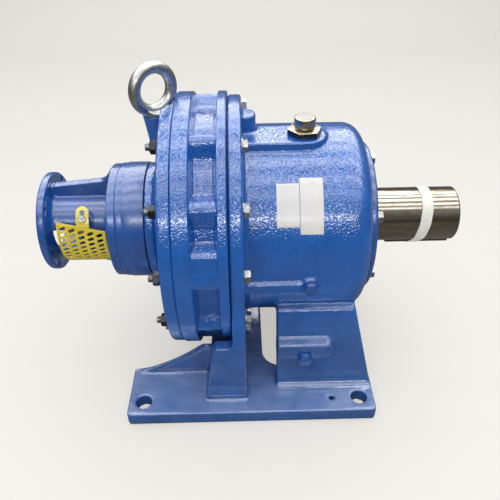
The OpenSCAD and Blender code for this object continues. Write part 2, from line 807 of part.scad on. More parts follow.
module guard() {
    rows = 11;
    columns = 5;
    row_step = 8;
    column_step = guard_l / (columns + 0.3);
    slope = atan((guard_high - guard_cut) * guard_r * PI / 180 / guard_l);
    edge_mid = (guard_cut + guard_high) / 2;
    tab_mid = edge_mid + 8;
    tab_l = 2 * guard_r * sin(tab_high - tab_mid);
    edge_low = -guard_r * sin(tab_mid - edge_mid);
    color([0.95, 0.83, 0.10]) difference() {
        guard_sheet(guard_low, tab_high + 8, guard_x0, guard_x1);
        // all above the sloping upper edge, save the tab
        guard_place(tab_x, tab_mid, 0.5 * guard_r, 0.7 * guard_r) difference() {
            rotate(-slope) translate([-1.5 * guard_r - edge_low, -1.5 * guard_l])
                square([1.5 * guard_r, 3 * guard_l]);
            slot_shape(tab_l, tab_w);
        }
        // staggered slots
        for (c = [0:columns - 1], r = [0:rows - 1])
            guard_place(guard_x0 + (c + 0.62) * column_step,
                guard_high - 9 - c * 2.6 - r * row_step) rotate(112) slot_shape(9.5, 4.6);
        // slotted hole of the tab and round hole at the low screw
        guard_place(tab_x, 38) slot_shape(17, 5.6);
        guard_place(guard_screw_places[1][0], guard_screw_places[1][1]) circle(2.8, $fn = 24);
    }
}

module guard_screws() {
    color(zinc) for (p = guard_screw_places) along(p[0]) rotate(180 - p[1]) rotate([0, 90, 0]) {
        translate([0, 0, guard_r - 9]) cylinder(r = 2.5, h = 12, $fn = 24);
        translate([0, 0, guard_r + guard_t]) difference() {
            cylinder(r = 5, h = 3.6, $fn = 32);
            translate([0, 0, 1.6]) hex_prism(4, 3);
        }
    }
}

// ---------- output end ----------

module output_cover() {
    x0 = case_end_x + gasket_t;
    x1 = x0 + output_rim_t;
    cone_r = cover_screw_r - 10.5;
    color(paint) difference() {
        along() rotate_extrude($fn = 96) difference() {
            union() {
                difference() {
                    band(0, output_cover_r, x0, x1);
                    translate([output_cover_r, x1]) rotate(45) square(3, center = true);
                }
                polygon([[0, x1 - 1], [cone_r, x1 - 1], [cone_r, x1], [cone_r - 5, x1 + 3.5],
                    [cover_nose_r + 8, x1 + nose_l - 2], [cover_nose_r, x1 + nose_l],
                    [0, x1 + nose_l]]);
                band(0, front_outer_r - run, front_x0 + front_w + side, x0 + 1);
            }
            band(-1, front_outer_r - 9, front_x0 + front_w, x0 + 1);
            band(-1, shaft_r + 6, x0, x1 + 1);
            band(-1, seal_2_r, x1, x1 + nose_l + 1);
        }
        hole_set([for (k = [0:cover_screws - 1]) 30 + k * 360 / cover_screws],
            cover_screw_r, 5.5, x0 - 1, x1 + 1);
    }
}

module output_gasket() {
    color(dark_steel) difference() {
        ring(front_outer_r + 1, output_cover_r - 2, case_end_x, case_end_x + gasket_t);
        hole_set([for (k = [0:cover_screws - 1]) 30 + k * 360 / cover_screws],
            cover_screw_r, 5.5, case_end_x - 1, case_end_x + 2);
    }
}

module casing_gasket() {
    color(dark_steel) difference() {
        ring(pin_pitch_2 + ring_pin_r_2 - 2, flange_r - 3, ring2_x1, seam_x);
        hole_set(bolt_angles, bolt_r, bolt_d / 2 + 0.5, ring2_x1 - 1, seam_x + 1);
    }
}

module middle_gasket() {
    color(dark_steel) difference() {
        ring(pin_pitch_1 + ring_pin_r_1 - 1, hub_r - 2, ring1_x1, collar_x0);
        hole_set(adapter_angles, adapter_screw_r, adapter_screw_d / 2 + 0.3,
            ring1_x1 - 1, collar_x0 + 1);
    }
}

// ---------- fasteners and fittings ----------

washer_t = 1.8;
washer_r = 9.5;
bolt_af = 16;
bolt_head_t = 6.4;
nut_t = 8.4;
stud_end = 6;

module casing_bolts() {
    color(zinc) along() for (a = bolt_angles) rotate(a) translate([bolt_r, 0, 0]) {
        translate([0, 0, case_face_x]) cylinder(r = washer_r, h = washer_t, $fn = 32);
        translate([0, 0, case_face_x + washer_t]) hex_prism(bolt_af, bolt_head_t);
        translate([0, 0, plate_x0 - nut_t - washer_t - stud_end])
            cylinder(d = bolt_d, h = case_face_x - plate_x0 + nut_t + 2 * washer_t + stud_end,
                $fn = 32);
    }
}

module casing_nuts() {
    color(dark_steel) along() for (a = bolt_angles) rotate(a) translate([bolt_r, 0, 0])
        difference() {
            union() {
                translate([0, 0, plate_x0 - washer_t - nut_t]) hex_prism(bolt_af, nut_t);
                translate([0, 0, plate_x0 - washer_t]) cylinder(r = washer_r, h = washer_t, $fn = 32);
            }
            translate([0, 0, plate_x0 - washer_t - nut_t - 1])
                cylinder(d = bolt_d + 2 * run, h = nut_t + washer_t + 2, $fn = 32);
        }
}

module output_cover_screws() {
    head_x = case_end_x + gasket_t + output_rim_t;
    color(zinc) along() for (k = [0:cover_screws - 1])
        rotate(30 + k * 360 / cover_screws) translate([cover_screw_r, 0, 0]) {
            translate([0, 0, head_x]) cylinder(r = 9, h = 1.6, $fn = 32);
            translate([0, 0, head_x + 1.6]) hex_prism(16, 6.4);
            translate([0, 0, case_end_x - 20])
                cylinder(r = 4.95, h = head_x - case_end_x + 21, $fn = 32);
        }
}

module adapter_screws() {
    color(dark_steel) along() for (a = adapter_angles) rotate(a)
        translate([adapter_screw_r, 0, 0]) difference() {
            union() {
                translate([0, 0, cover1_x0 - 4 - 8])
                    cylinder(r = 6.5, h = 8, $fn = 32);
                translate([0, 0, cover1_x0 - 5])
                    cylinder(d = adapter_screw_d - 0.1, h = collar_x0 + 25 - cover1_x0, $fn = 32);
            }
            translate([0, 0, cover1_x0 - 13]) hex_prism(6, 5);
        }
}

// Eye bolt: ring sunk into a turned collar, flat below, with its threaded shank
module lifting_eye() {
    loop_r = (eye_d - eye_wire) / 2;
    color(zinc) translate([eye_x, 0, axis_h + eye_seat]) rotate(eye_turn) {
        difference() {
            union() {
                translate([0, 0, eye_rise]) rotate([90, 0, 0]) rotate_extrude($fn = 96)
                    translate([loop_r, 0]) circle(eye_wire / 2, $fn = 32);
                difference() {
                    cylinder(r = eye_collar_r, h = eye_collar_h);
                    translate([0, 0, eye_rise]) rotate([90, 0, 0])
                        cylinder(r = loop_r, h = 60, center = true);
                }
            }
            translate([0, 0, -20]) cylinder(r = 40, h = 20);
        }
        translate([0, 0, -27]) cylinder(r = 10, h = 28);
    }
}

plug_d = 16;
plug_af = 17;
vent_hex_t = 8;
vent_neck = 2;

module vent_body() {
    color([0.79, 0.68, 0.42]) translate([vent_x, vent_y, axis_h + pad_h]) difference() {
        union() {
            rotate(8) hex_prism(vent_af, vent_hex_t);
            translate([0, 0, -20]) cylinder(r = 12.9, h = 21);
            translate([0, 0, vent_hex_t - 1]) cylinder(r = 11, h = vent_neck + 1);
        }
        translate([0, 0, -21]) cylinder(r = 4, h = 40, $fn = 32);
    }
}

module vent_cap() {
    color(steel) translate([vent_x, vent_y, axis_h + pad_h + vent_hex_t + vent_neck])
        rotate_extrude() polygon([
            [0, 0], [14.3, 0], [14.3, 12.5], [13.3, 13.5], [0, 13.5]]);
}

// Hexagon plug with a turned collar, drawn along +Z
module screw_plug() {
    translate([0, 0, -12]) cylinder(r = plug_d / 2 - 0.1, h = 13);
    cylinder(r = 10, h = 2);
    translate([0, 0, 1]) hex_prism(plug_af, 7);
}

module level_plug() {
    color(paint) translate([level_x, -level_face_y, level_z]) rotate([90, 0, 0])
        screw_plug();
}

module drain_plug() {
    color(paint) translate([drain_x, -drain_face_y, drain_z]) rotate([90, 0, 0])
        screw_plug();
}

// ---------- input shaft and first stage ----------

module input_shaft() {
    color(steel) difference() {
        along() rotate_extrude() {
            difference() {
                band(0, quill_r, quill_x0, quill_x1);
                translate([quill_r, quill_x0]) rotate(45) square(2, center = true);
            }
            band(0, input_r, quill_x1 - 1, input_x1 + 1);
            band(0, sleeve_1_r, input_x1, stage1_x + stage1_half + 1);
            band(0, pilot_1_r, stage1_x + stage1_half, mid_flange_x0 + 15);
        }
        disc(input_bore_d / 2, quill_x0 - 1, quill_x0 + 68);
        translate([quill_x0 - 1, -input_key_w / 2, axis_h])
            cube([66, input_key_w, input_bore_d / 2 + 3.3]);
        // clamp screw hole
        translate([quill_x0 + 34, 0, axis_h]) rotate([0, 0, 0]) rotate([90, 0, 0])
            cylinder(r = 3.3, h = quill_r + 5, $fn = 24);
    }
}

// Two eccentrics half a turn apart on one sleeve
module double_eccentric(x_mid, half, bore, r, throw) {
    difference() {
        union() {
            along(x_mid - half) translate([throw, 0, 0]) cylinder(r = r, h = half);
            along(x_mid) translate([-throw, 0, 0]) cylinder(r = r, h = half);
        }
        disc(bore + run, x_mid - half - 1, x_mid + half + 1);
    }
}

module input_eccentric() {
    color(dark_steel) double_eccentric(stage1_x, stage1_half, sleeve_1_r, eccentric_r_1, throw_1);
}

module intermediate_eccentric() {
    color(dark_steel) double_eccentric(stage2_x, stage2_half, sleeve_2_r, eccentric_r_2, throw_2);
}

// Rollers round one eccentric, shifted with it
module eccentric_rollers(count, pitch, r, shift, x0, w) {
    color(steel) translate([0, shift, 0]) roller_set(count, pitch, r, x0 + 1, x0 + w - 1);
}

disc_1a_x = stage1_x - stage1_half;
disc_1b_x = stage1_x + disc_gap_1 / 2;
disc_2a_x = stage2_x - stage2_half;
disc_2b_x = stage2_x + disc_gap_2 / 2;

module eccentric_rollers_1a() {
    eccentric_rollers(18, eccentric_pitch_1, eccentric_roller_r_1, throw_1, disc_1a_x, disc_w_1);
}

module eccentric_rollers_1b() {
    eccentric_rollers(18, eccentric_pitch_1, eccentric_roller_r_1, -throw_1, disc_1b_x, disc_w_1);
}

module eccentric_rollers_2a() {
    eccentric_rollers(18, eccentric_pitch_2, eccentric_roller_r_2, throw_2, disc_2a_x, disc_w_2);
}

module eccentric_rollers_2b() {
    eccentric_rollers(18, eccentric_pitch_2, eccentric_roller_r_2, -throw_2, disc_2b_x, disc_w_2);
}

module disc_1a() {
    color(steel) disc_1(disc_1a_x, 0);
}

module disc_1b() {
    color(steel) disc_1(disc_1b_x, 180);
}

module disc_2a() {
    color(steel) disc_2(disc_2a_x, 0);
}

module disc_2b() {
    color(steel) disc_2(disc_2b_x, 180);
}

// Thin rings that keep the two discs of a stage apart, carried by the ring pins
module disc_spacer_1() {
    color(steel) ring(pin_pitch_1 - ring_pin_r_1 - 5, pin_pitch_1 - ring_pin_r_1 - 0.2,
        stage1_x - disc_gap_1 / 2 + side, stage1_x + disc_gap_1 / 2 - side);
}

module disc_spacer_2() {
    color(steel) ring(pin_pitch_2 - ring_pin_r_2 - 10, pin_pitch_2 - ring_pin_r_2 - 0.2,
        stage2_x - disc_gap_2 / 2 + side, stage2_x + disc_gap_2 / 2 - side);
}

module intermediate_shaft() {
    color(steel) difference() {
        along() rotate_extrude() difference() {
            union() {
                band(0, carrier_flange_r_1, mid_flange_x0, mid_flange_x1);
                band(0, middle_r + middle_race - 1, mid_flange_x1 - 1, middle_x0);
                band(0, middle_r, middle_x0 - 1, stage2_x - stage2_half);
                band(0, sleeve_2_r, stage2_x - stage2_half - 1, stage2_x + stage2_half);
                band(0, pilot_2_r, stage2_x + stage2_half - 1, out_flange_x0 + 19);
            }
            band(-1, pilot_1_bore, mid_flange_x0 - 1, mid_flange_x0 + 17);
        }
        hole_set([for (k = [0:carriers - 1]) k * 360 / carriers], carrier_pitch_1,
            carrier_pin_d_1 / 2 + run, mid_flange_x0 - 1, mid_flange_x1 + 1);
    }
}

module carrier_pins_1() {
    color(steel) roller_set(carriers, carrier_pitch_1, carrier_pin_d_1 / 2,
        stage1_x - stage1_half - 1, mid_flange_x1);
}

module roller_tubes(pitch, r, bore, x0, x1) {
    along(x0) for (k = [0:carriers - 1])
        rotate(k * 360 / carriers) translate([pitch, 0, 0]) difference() {
            cylinder(r = r, h = x1 - x0, $fn = 32);
            translate([0, 0, -1]) cylinder(r = bore, h = x1 - x0 + 2, $fn = 32);
        }
}

module carrier_rollers_1() {
    color(dark_steel) roller_tubes(carrier_pitch_1, carrier_roller_r_1,
        carrier_pin_d_1 / 2 + run, stage1_x - stage1_half, mid_flange_x0 - side);
}

// ---------- output shaft and second stage ----------

module output_shaft() {
    color([0.55, 0.50, 0.42]) difference() {
        along() rotate_extrude($fn = 96) difference() {
            union() {
                band(0, output_flange_r, out_flange_x0, out_flange_x1);
                band(0, rear_r + rear_race - 1, out_flange_x1 - 1, rear_x0);
                band(0, rear_r, rear_x0 - 1, rear_x0 + rear_w + 6);
                band(0, shaft_r + 12, rear_x0 + rear_w + 5, front_x0);
                band(0, front_r, front_x0 - 1, front_x0 + front_w + 2);
                band(0, shaft_r + 2, front_x0 + front_w, case_end_x + 4);
                band(0, shaft_r, case_end_x, shaft_end_x);
            }
            translate([shaft_r, shaft_end_x]) rotate(45) square(3, center = true);
            // centre hole with its thread bore
            band(-1, 8.5, shaft_end_x - 42, shaft_end_x + 1);
            polygon([[-1, shaft_end_x + 0.01], [12, shaft_end_x + 0.01], [8, shaft_end_x - 7],
                [-1, shaft_end_x - 7]]);
            // seat of the rear pilot rollers
            band(-1, pilot_2_bore, out_flange_x0 - 1, out_flange_x0 + 21);
        }
        hole_set([for (k = [0:carriers - 1]) k * 360 / carriers], carrier_pitch_2,
            carrier_pin_d_2 / 2 + run, out_flange_x0 - 1, out_flange_x1 + 1);
        // keyway along the underside, open at the end
        translate([shaft_end_x - key_l, -key_w / 2, axis_h - shaft_r - 1])
            cube([key_l + 1, key_w, 10]);
    }
}

module output_key() {
    color(dark_steel) translate([shaft_end_x - key_l, -key_w / 2, axis_h - shaft_r + 9 - key_h])
        cube([key_l - 0.5, key_w, key_h]);
}

module carrier_pins_2() {
    color(steel) roller_set(carriers, carrier_pitch_2, carrier_pin_d_2 / 2,
        stage2_x - stage2_half - 1, out_flange_x1);
}

module carrier_rollers_2() {
    color(dark_steel) roller_tubes(carrier_pitch_2, carrier_roller_r_2,
        carrier_pin_d_2 / 2 + run, stage2_x - stage2_half, out_flange_x0 - side);
}

// ---------- bearings and seals ----------

module input_bearing_outer() {
    color(steel) ring(input_outer_r - input_race, input_outer_r, input_x0, input_x1);
}

module input_bearing_inner() {
    color(steel) ring(input_r, input_r + input_race, input_x0, input_x1);
}

module input_bearing_rollers() {
    color(steel) roller_set(20, input_r + input_race + roll + input_roller_r, input_roller_r,
        input_x0 + 2, input_x1 - 2);
}

module middle_bearing_outer() {
    color(steel) ring(middle_outer_r - middle_race, middle_outer_r, middle_x0, middle_x1);
}

module middle_bearing_inner() {
    color(steel) ring(middle_r, middle_r + middle_race, middle_x0, middle_x1);
}

module middle_bearing_rollers() {
    color(steel) roller_set(22, middle_r + middle_race + roll + middle_roller_r,
        middle_roller_r, middle_x0 + 2, middle_x1 - 2);
}

module rear_bearing_outer() {
    color(steel) ring(rear_r + rear_race + 2 * rear_roller_r + 2 * roll, rear_outer_r,
        rear_x0, rear_x0 + rear_w);
}

module rear_bearing_inner() {
    color(steel) ring(rear_r, rear_r + rear_race, rear_x0, rear_x0 + rear_w);
}

module rear_bearing_rollers() {
    color(steel) roller_set(20, rear_r + rear_race + roll + rear_roller_r, rear_roller_r,
        rear_x0 + 3, rear_x0 + rear_w - 3);
}

module front_bearing_outer() {
    color(steel) ring(front_r + front_race + 2 * front_roller_r + 2 * roll, front_outer_r,
        front_x0, front_x0 + front_w);
}

module front_bearing_inner() {
    color(steel) ring(front_r, front_r + front_race, front_x0, front_x0 + front_w);
}

module front_bearing_rollers() {
    color(steel) roller_set(22, front_r + front_race + roll + front_roller_r, front_roller_r,
        front_x0 + 3, front_x0 + front_w - 3);
}

module pilot_rollers_1() {
    color(steel) roller_set(12, pilot_1_r + pilot_1_roller + roll, pilot_1_roller,
        mid_flange_x0 + 1, mid_flange_x0 + 13);
}

module pilot_rollers_2() {
    color(steel) roller_set(16, pilot_2_r + pilot_2_roller + roll, pilot_2_roller,
        out_flange_x0 + 1, out_flange_x0 + 17);
}

module input_seal() {
    color(dark_steel) ring(input_r + run, seal_1_r, input_x0 - 7, input_x0);
}

module output_seal() {
    x1 = case_end_x + gasket_t + output_rim_t;
    color(dark_steel) ring(shaft_r + run, seal_2_r, x1, x1 + nose_l - 2);
}

casing();
ring_gear_2();
ring_pins_2();
middle_cover();
ring_gear_1();
ring_pins_1();
input_cover();
motor_adapter();
output_cover();
output_gasket();
casing_gasket();
middle_gasket();
casing_bolts();
casing_nuts();
output_cover_screws();
adapter_screws();
lifting_eye();
vent_body();
vent_cap();
level_plug();
drain_plug();
guard();
guard_screws();
input_shaft();
input_eccentric();
eccentric_rollers_1a();
eccentric_rollers_1b();
disc_1a();
disc_1b();
disc_spacer_1();
intermediate_shaft();
carrier_pins_1();
carrier_rollers_1();
intermediate_eccentric();
eccentric_rollers_2a();
eccentric_rollers_2b();
disc_2a();
disc_2b();
disc_spacer_2();
output_shaft();
carrier_pins_2();
carrier_rollers_2();
output_key();
input_bearing_outer();
input_bearing_inner();
input_bearing_rollers();
middle_bearing_outer();
middle_bearing_inner();
middle_bearing_rollers();
rear_bearing_outer();
rear_bearing_inner();
rear_bearing_rollers();
front_bearing_outer();
front_bearing_inner();
front_bearing_rollers();
pilot_rollers_1();
pilot_rollers_2();
input_seal();
output_seal();
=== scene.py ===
"""Foot mounted two-stage cycloidal reducer: finished surfaces, floor, light and camera."""
import json
import math
import bmesh
import bpy
from mathutils import Matrix, Vector
from mathutils.geometry import convex_hull_2d


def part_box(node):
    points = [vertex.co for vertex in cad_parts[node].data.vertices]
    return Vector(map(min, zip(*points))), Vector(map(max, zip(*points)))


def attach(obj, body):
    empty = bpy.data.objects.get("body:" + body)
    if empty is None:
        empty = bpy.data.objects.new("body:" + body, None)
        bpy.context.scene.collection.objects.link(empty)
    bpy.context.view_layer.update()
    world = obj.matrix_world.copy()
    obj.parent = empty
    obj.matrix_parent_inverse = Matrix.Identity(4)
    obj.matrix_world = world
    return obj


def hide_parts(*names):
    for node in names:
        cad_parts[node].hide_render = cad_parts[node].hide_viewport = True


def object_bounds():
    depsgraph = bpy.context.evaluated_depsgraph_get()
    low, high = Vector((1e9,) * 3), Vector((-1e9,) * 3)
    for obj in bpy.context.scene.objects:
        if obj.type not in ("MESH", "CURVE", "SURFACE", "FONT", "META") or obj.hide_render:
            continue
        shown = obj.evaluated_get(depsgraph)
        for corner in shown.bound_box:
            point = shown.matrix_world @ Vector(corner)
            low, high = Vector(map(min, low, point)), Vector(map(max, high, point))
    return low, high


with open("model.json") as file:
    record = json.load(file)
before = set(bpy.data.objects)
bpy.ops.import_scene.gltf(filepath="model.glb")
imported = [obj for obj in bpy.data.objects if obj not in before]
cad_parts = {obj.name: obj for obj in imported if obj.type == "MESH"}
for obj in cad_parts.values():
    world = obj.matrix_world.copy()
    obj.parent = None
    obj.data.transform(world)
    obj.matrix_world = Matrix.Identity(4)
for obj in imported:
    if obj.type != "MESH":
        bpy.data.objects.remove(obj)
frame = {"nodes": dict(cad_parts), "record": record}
cad_low, cad_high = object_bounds()
nodes = frame["nodes"]
body_of_node = {n: b for b, ns in frame["record"]["behaviour"]["bodies"].items() for n in ns}
slot_of_node = {part["node"]: part["material_slot"] for part in frame["record"]["subparts"]}

ring_low, ring_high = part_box("ring_gear_2")
AXIS = (ring_low.z + ring_high.z) / 2
RING_R = (ring_high.z - ring_low.z) / 2
CHANNEL_DEPTH = 0.022
CHANNEL_FLOOR_R = RING_R - CHANNEL_DEPTH
BOLT_CIRCLE_R = CHANNEL_FLOOR_R + 0.002
BARREL_R = 0.1382


# ---------- surface finishes ----------

class Finish:
    """A Principled surface and the patterns in millimetres that feed it."""

    def __init__(self, name, **sockets):
        self.material = bpy.data.materials.new(name)
        self.material.use_nodes = True
        self.tree = self.material.node_tree
        self.shader = self.tree.nodes["Principled BSDF"]
        self.place = self.tree.nodes.new("ShaderNodeTexCoord").outputs["Object"]
        for socket, value in sockets.items():
            self.shader.inputs[socket.replace("_", " ")].default_value = value

    def node(self, kind, feeds=(), **settings):
        made = self.tree.nodes.new(kind)
        for key, value in settings.items():
            setattr(made, key, value)
        for socket, value in dict(feeds).items():
            if isinstance(value, bpy.types.NodeSocket):
                self.tree.links.new(value, made.inputs[socket])
            else:
                made.inputs[socket].default_value = value
        return made

    def stretched(self, sizes_mm):
        """Object coordinates counted in cells of these sizes."""
        scale = [1000 / s for s in sizes_mm]
        return self.node("ShaderNodeVectorMath", {0: self.place, 1: scale},
                         operation="MULTIPLY").outputs[0]

    def grain(self, size_mm, detail=2.0, rough=0.5, coords=None):
        """Soft grain; size is one cell in millimetres."""
        coords = coords or self.stretched((size_mm,) * 3)
        return self.node("ShaderNodeTexNoise",
                         {"Vector": coords, "Scale": 1.0, "Detail": detail, "Roughness": rough}
                         ).outputs["Fac"]

    def pits(self, size_mm):
        """Round cells, dark at each middle."""
        return self.node("ShaderNodeTexVoronoi",
                         {"Vector": self.stretched((size_mm,) * 3), "Scale": 1.0,
                          "Randomness": 1.0}, feature="SMOOTH_F1").outputs["Distance"]

    def spread(self, value, low, high, to_low=0.0, to_high=1.0):
        return self.node("ShaderNodeMapRange",
                         {"Value": value, "From Min": low, "From Max": high,
                          "To Min": to_low, "To Max": to_high}).outputs["Result"]

    def times(self, a, b):
        return self.node("ShaderNodeMath", {0: a, 1: b}, operation="MULTIPLY").outputs[0]

    def plus(self, a, b):
        return self.node("ShaderNodeMath", {0: a, 1: b}, operation="ADD").outputs[0]

    def blend(self, amount, a, b):
        made = self.tree.nodes.new("ShaderNodeMix")
        made.data_type = "RGBA"
        for at, value in ((0, amount), (6, a), (7, b)):
            if isinstance(value, bpy.types.NodeSocket):
                self.tree.links.new(value, made.inputs[at])
            else:
                made.inputs[at].default_value = value if at == 0 else (*value, 1)
        return made.outputs[2]

    def raised(self, height, depth_mm, strength=1.0, over=None):
        feeds = {"Height": height, "Distance": depth_mm / 1000, "Strength": strength}
        if over:
            feeds["Normal"] = over
        return self.node("ShaderNodeBump", feeds).outputs["Normal"]

    def drive(self, socket, value):
        self.tree.links.new(value, self.shader.inputs[socket])


FOOT_FADE = (0.085, 0.15)


def enamel(name, light, dark, grain_mm, depth_mm, rough, wave_mm=0.10, gloss=0.08, foot=None):
    """Sprayed enamel with orange peel.

    Given the three foot colours, it turns smoother and patchy in gloss below the legs'
    middle; there its colours turn greyer, a painted reflection of the floor, and paler
    in patches on the level faces, a painted sheen of the overhead light.
    """
    f = Finish(name, Coat_Weight=1.0, Coat_Roughness=gloss, Coat_IOR=1.78, Specular_IOR_Level=0.65)
    cloud = f.grain(45, 3.0, 0.6)
    fine = f.grain(2.2, 2.0)
    tone = f.spread(f.plus(f.times(cloud, 0.7), f.times(fine, 0.3)), 0.38, 0.62)
    colour = f.blend(tone, dark, light)
    satin = f.spread(f.grain(9, 3.0), 0.3, 0.7, rough - 0.06, rough + 0.08)
    pebble = f.plus(f.times(f.grain(grain_mm, 0.6, 0.4), 0.3),
                    f.times(f.spread(f.pits(grain_mm), 0.05, 0.5), 0.7))
    if foot:
        height = f.node("ShaderNodeSeparateXYZ", {0: f.place}).outputs[2]
        high = f.spread(height, *FOOT_FADE)
        facing = f.node("ShaderNodeNewGeometry").outputs["Normal"]
        level = f.spread(f.node("ShaderNodeSeparateXYZ", {0: facing}).outputs[2], 0.75, 0.97)
        # painted sheen: level faces down low turn paler in patches, standing in for the overhead
        # light's reflection
        painted_sheen = f.times(level, f.spread(f.grain(30, 4.0, 0.6), 0.35, 0.65, 0.45, 0.85))
        low = f.blend(painted_sheen, f.blend(tone, foot[0], foot[1]), foot[2])
        colour = f.blend(high, low, colour)
        wet = f.spread(f.grain(1, 3.0, 0.6, f.stretched((55, 16, 30))), 0.42, 0.58, 0.12, 0.38)
        satin = f.plus(f.times(satin, high), f.times(wet, f.spread(high, 0, 1, 1, 0)))
        pebble = f.times(pebble, f.spread(high, 0, 1, 0.22, 1))
    f.drive("Base Color", colour)
    f.drive("Roughness", satin)
    peel = f.raised(pebble, depth_mm, 1.0, f.raised(f.grain(14, 1.0), wave_mm))
    f.drive("Normal", peel)
    f.drive("Coat Normal", peel)
    return f.material


def bright_metal(name, light, dark, rough, cell_mm=3.0, scratch=(60, 0.5, 0.5), depth_mm=0.02,
                 painted_dark_reflection=None):
    """Plated or bare metal with cloudy tone and fine marks; a flank colour darkens upright faces, a
    painted reflection.
    """
    f = Finish(name, Metallic=1.0)
    tone = f.plus(f.times(f.grain(cell_mm * 5, 3.0, 0.6), 0.6), f.times(f.grain(cell_mm, 2.0), 0.4))
    colour = f.blend(f.spread(tone, 0.36, 0.64), dark, light)
    if painted_dark_reflection:
        facing = f.node("ShaderNodeNewGeometry").outputs["Normal"]
        level = f.spread(f.node("ShaderNodeSeparateXYZ", {0: facing}).outputs[2], 0.35, 0.7)
        # upright faces take the dark flank colour, a painted reflection
        colour = f.blend(level, painted_dark_reflection, colour)
    f.drive("Base Color", colour)
    marks = f.grain(1, 2.0, 0.6, f.stretched(scratch))
    f.drive("Roughness", f.spread(marks, 0.3, 0.7, rough - 0.08, rough + 0.1))
    f.drive("Normal", f.raised(marks, depth_mm))
    return f.material


def turned_steel(name):
    """Ground shaft steel with turning rings under a thin brown film of rust guard."""
    f = Finish(name, Metallic=1.0, Coat_Weight=0.25, Coat_Roughness=0.08)
    rings = f.grain(1, 2.0, 0.6, f.stretched((0.35, 120, 120)))
    smears = f.grain(1, 4.0, 0.65, f.stretched((14, 9, 9)))
    runs = f.grain(1, 3.0, 0.6, f.stretched((60, 6, 6)))
    film = f.spread(f.plus(f.times(smears, 0.45), f.times(runs, 0.55)), 0.42, 0.66)
    steel_tone = f.blend(f.spread(rings, 0.35, 0.65), (0.42, 0.39, 0.33), (0.54, 0.51, 0.44))
    f.drive("Base Color", f.blend(film, steel_tone, (0.33, 0.26, 0.16)))
    f.drive("Roughness", f.spread(film, 0.0, 1.0, 0.10, 0.22))
    bumps = f.raised(smears, 0.05, 0.4)
    f.drive("Normal", f.raised(rings, 0.003, 1.0, bumps))
    return f.material


def soft_sheet(name, light, dark, rough, cell_mm=1.2, depth_mm=0.05, **sockets):
    """Paper, film, rubber or fibre: dull, with a fine tooth."""
    f = Finish(name, **sockets)
    tooth = f.grain(cell_mm, 3.0, 0.6)
    tone = f.plus(f.times(f.grain(cell_mm * 14, 2.0), 0.6), f.times(tooth, 0.4))
    f.drive("Base Color", f.blend(f.spread(tone, 0.35, 0.65), dark, light))
    f.drive("Roughness", f.spread(tooth, 0.3, 0.7, rough - 0.07, rough + 0.07))
    f.drive("Normal", f.raised(tooth, depth_mm))
    return f.material


BLUE_LIGHT, BLUE_DARK = (0.004, 0.120, 0.500), (0.002, 0.092, 0.400)
# foot colours: two greyer blues, a painted reflection of the floor, then a pale blue, a painted
# sheen on level faces
cast_blue = enamel("cast_blue_enamel", BLUE_LIGHT, BLUE_DARK, 2.5, 0.34, 0.20,
                   foot=((0.020, 0.090, 0.31), (0.036, 0.132, 0.43), (0.20, 0.29, 0.56)))
turned_blue = enamel("turned_blue_enamel", (0.005, 0.096, 0.410), (0.003, 0.072, 0.330),
                     2.4, 0.08, 0.24, 0.08, 0.24)
guard_yellow = enamel("guard_yellow_enamel", (0.84, 0.68, 0.020), (0.76, 0.58, 0.012),
                      1.6, 0.05, 0.34, 0.08, 0.2)
zinc_plate = bright_metal("zinc_plate", (0.64, 0.65, 0.64), (0.42, 0.43, 0.43), 0.27)
forged_zinc = bright_metal("forged_zinc", (0.76, 0.77, 0.75), (0.50, 0.52, 0.51), 0.34, 2.0,
                           (4, 4, 4), 0.10)
black_oxide = bright_metal("black_oxide", (0.11, 0.11, 0.11), (0.04, 0.04, 0.045), 0.42, 2.0)
# the dark colour on the hexagon's upright sides is a painted reflection of the blue casing
yellow_zinc = bright_metal("yellow_zinc", (0.78, 0.70, 0.48), (0.60, 0.52, 0.34), 0.26, 2.5,
                           painted_dark_reflection=(0.10, 0.10, 0.12))
cap_metal = bright_metal("cap_metal", (0.70, 0.66, 0.58), (0.44, 0.38, 0.30), 0.26, 3.0,
                         (30, 30, 0.5))
gear_steel = bright_metal("ground_gear_steel", (0.62, 0.62, 0.61), (0.46, 0.46, 0.46), 0.28, 4.0)
bearing_steel = bright_metal("bearing_steel", (0.70, 0.70, 0.69), (0.58, 0.58, 0.58), 0.20, 4.0)
shaft_steel = turned_steel("shaft_steel")
key_steel = bright_metal("key_steel", (0.30, 0.28, 0.23), (0.17, 0.15, 0.12), 0.34, 2.0)
joint_fibre = soft_sheet("joint_fibre", (0.022, 0.025, 0.035), (0.010, 0.012, 0.018), 0.75)
seal_rubber = soft_sheet("seal_rubber", (0.03, 0.03, 0.03), (0.015, 0.015, 0.015), 0.55)
masking_tape = soft_sheet("masking_tape", (0.86, 0.85, 0.81), (0.78, 0.77, 0.72), 0.55, 1.0, 0.06)
label_film = soft_sheet("label_film", (0.74, 0.74, 0.73), (0.68, 0.68, 0.67), 0.36, 0.8, 0.01,
                        Coat_Weight=0.4, Coat_Roughness=0.15)
cap_paper = soft_sheet("cap_paper", (0.56, 0.52, 0.50), (0.48, 0.44, 0.42), 0.5, 1.0, 0.02)


# ---------- making pieces ----------

def link(name, mesh):
    made = bpy.data.objects.new(name, mesh)
    bpy.context.scene.collection.objects.link(made)
    return made


def merged(node):
    """The shape of a node as one closed surface."""
    bm = bmesh.new()
    bm.from_mesh(nodes[node].data)
    bmesh.ops.remove_doubles(bm, verts=bm.verts, dist=2e-6)
    mesh = bpy.data.meshes.new(node + "_shape")
    bm.to_mesh(mesh)
    bm.free()
    return mesh


def worked(mesh, *steps):
    """The mesh after these modifiers, each a kind and its settings."""
    held = link("work", mesh)
    for kind, settings in steps:
        step = held.modifiers.new(kind, kind)
        for key, value in settings.items():
            setattr(step, key, value)
    bpy.context.view_layer.update()
    seen = held.evaluated_get(bpy.context.evaluated_depsgraph_get())
    made = bpy.data.meshes.new_from_object(seen)
    bpy.data.objects.remove(held)
    return made


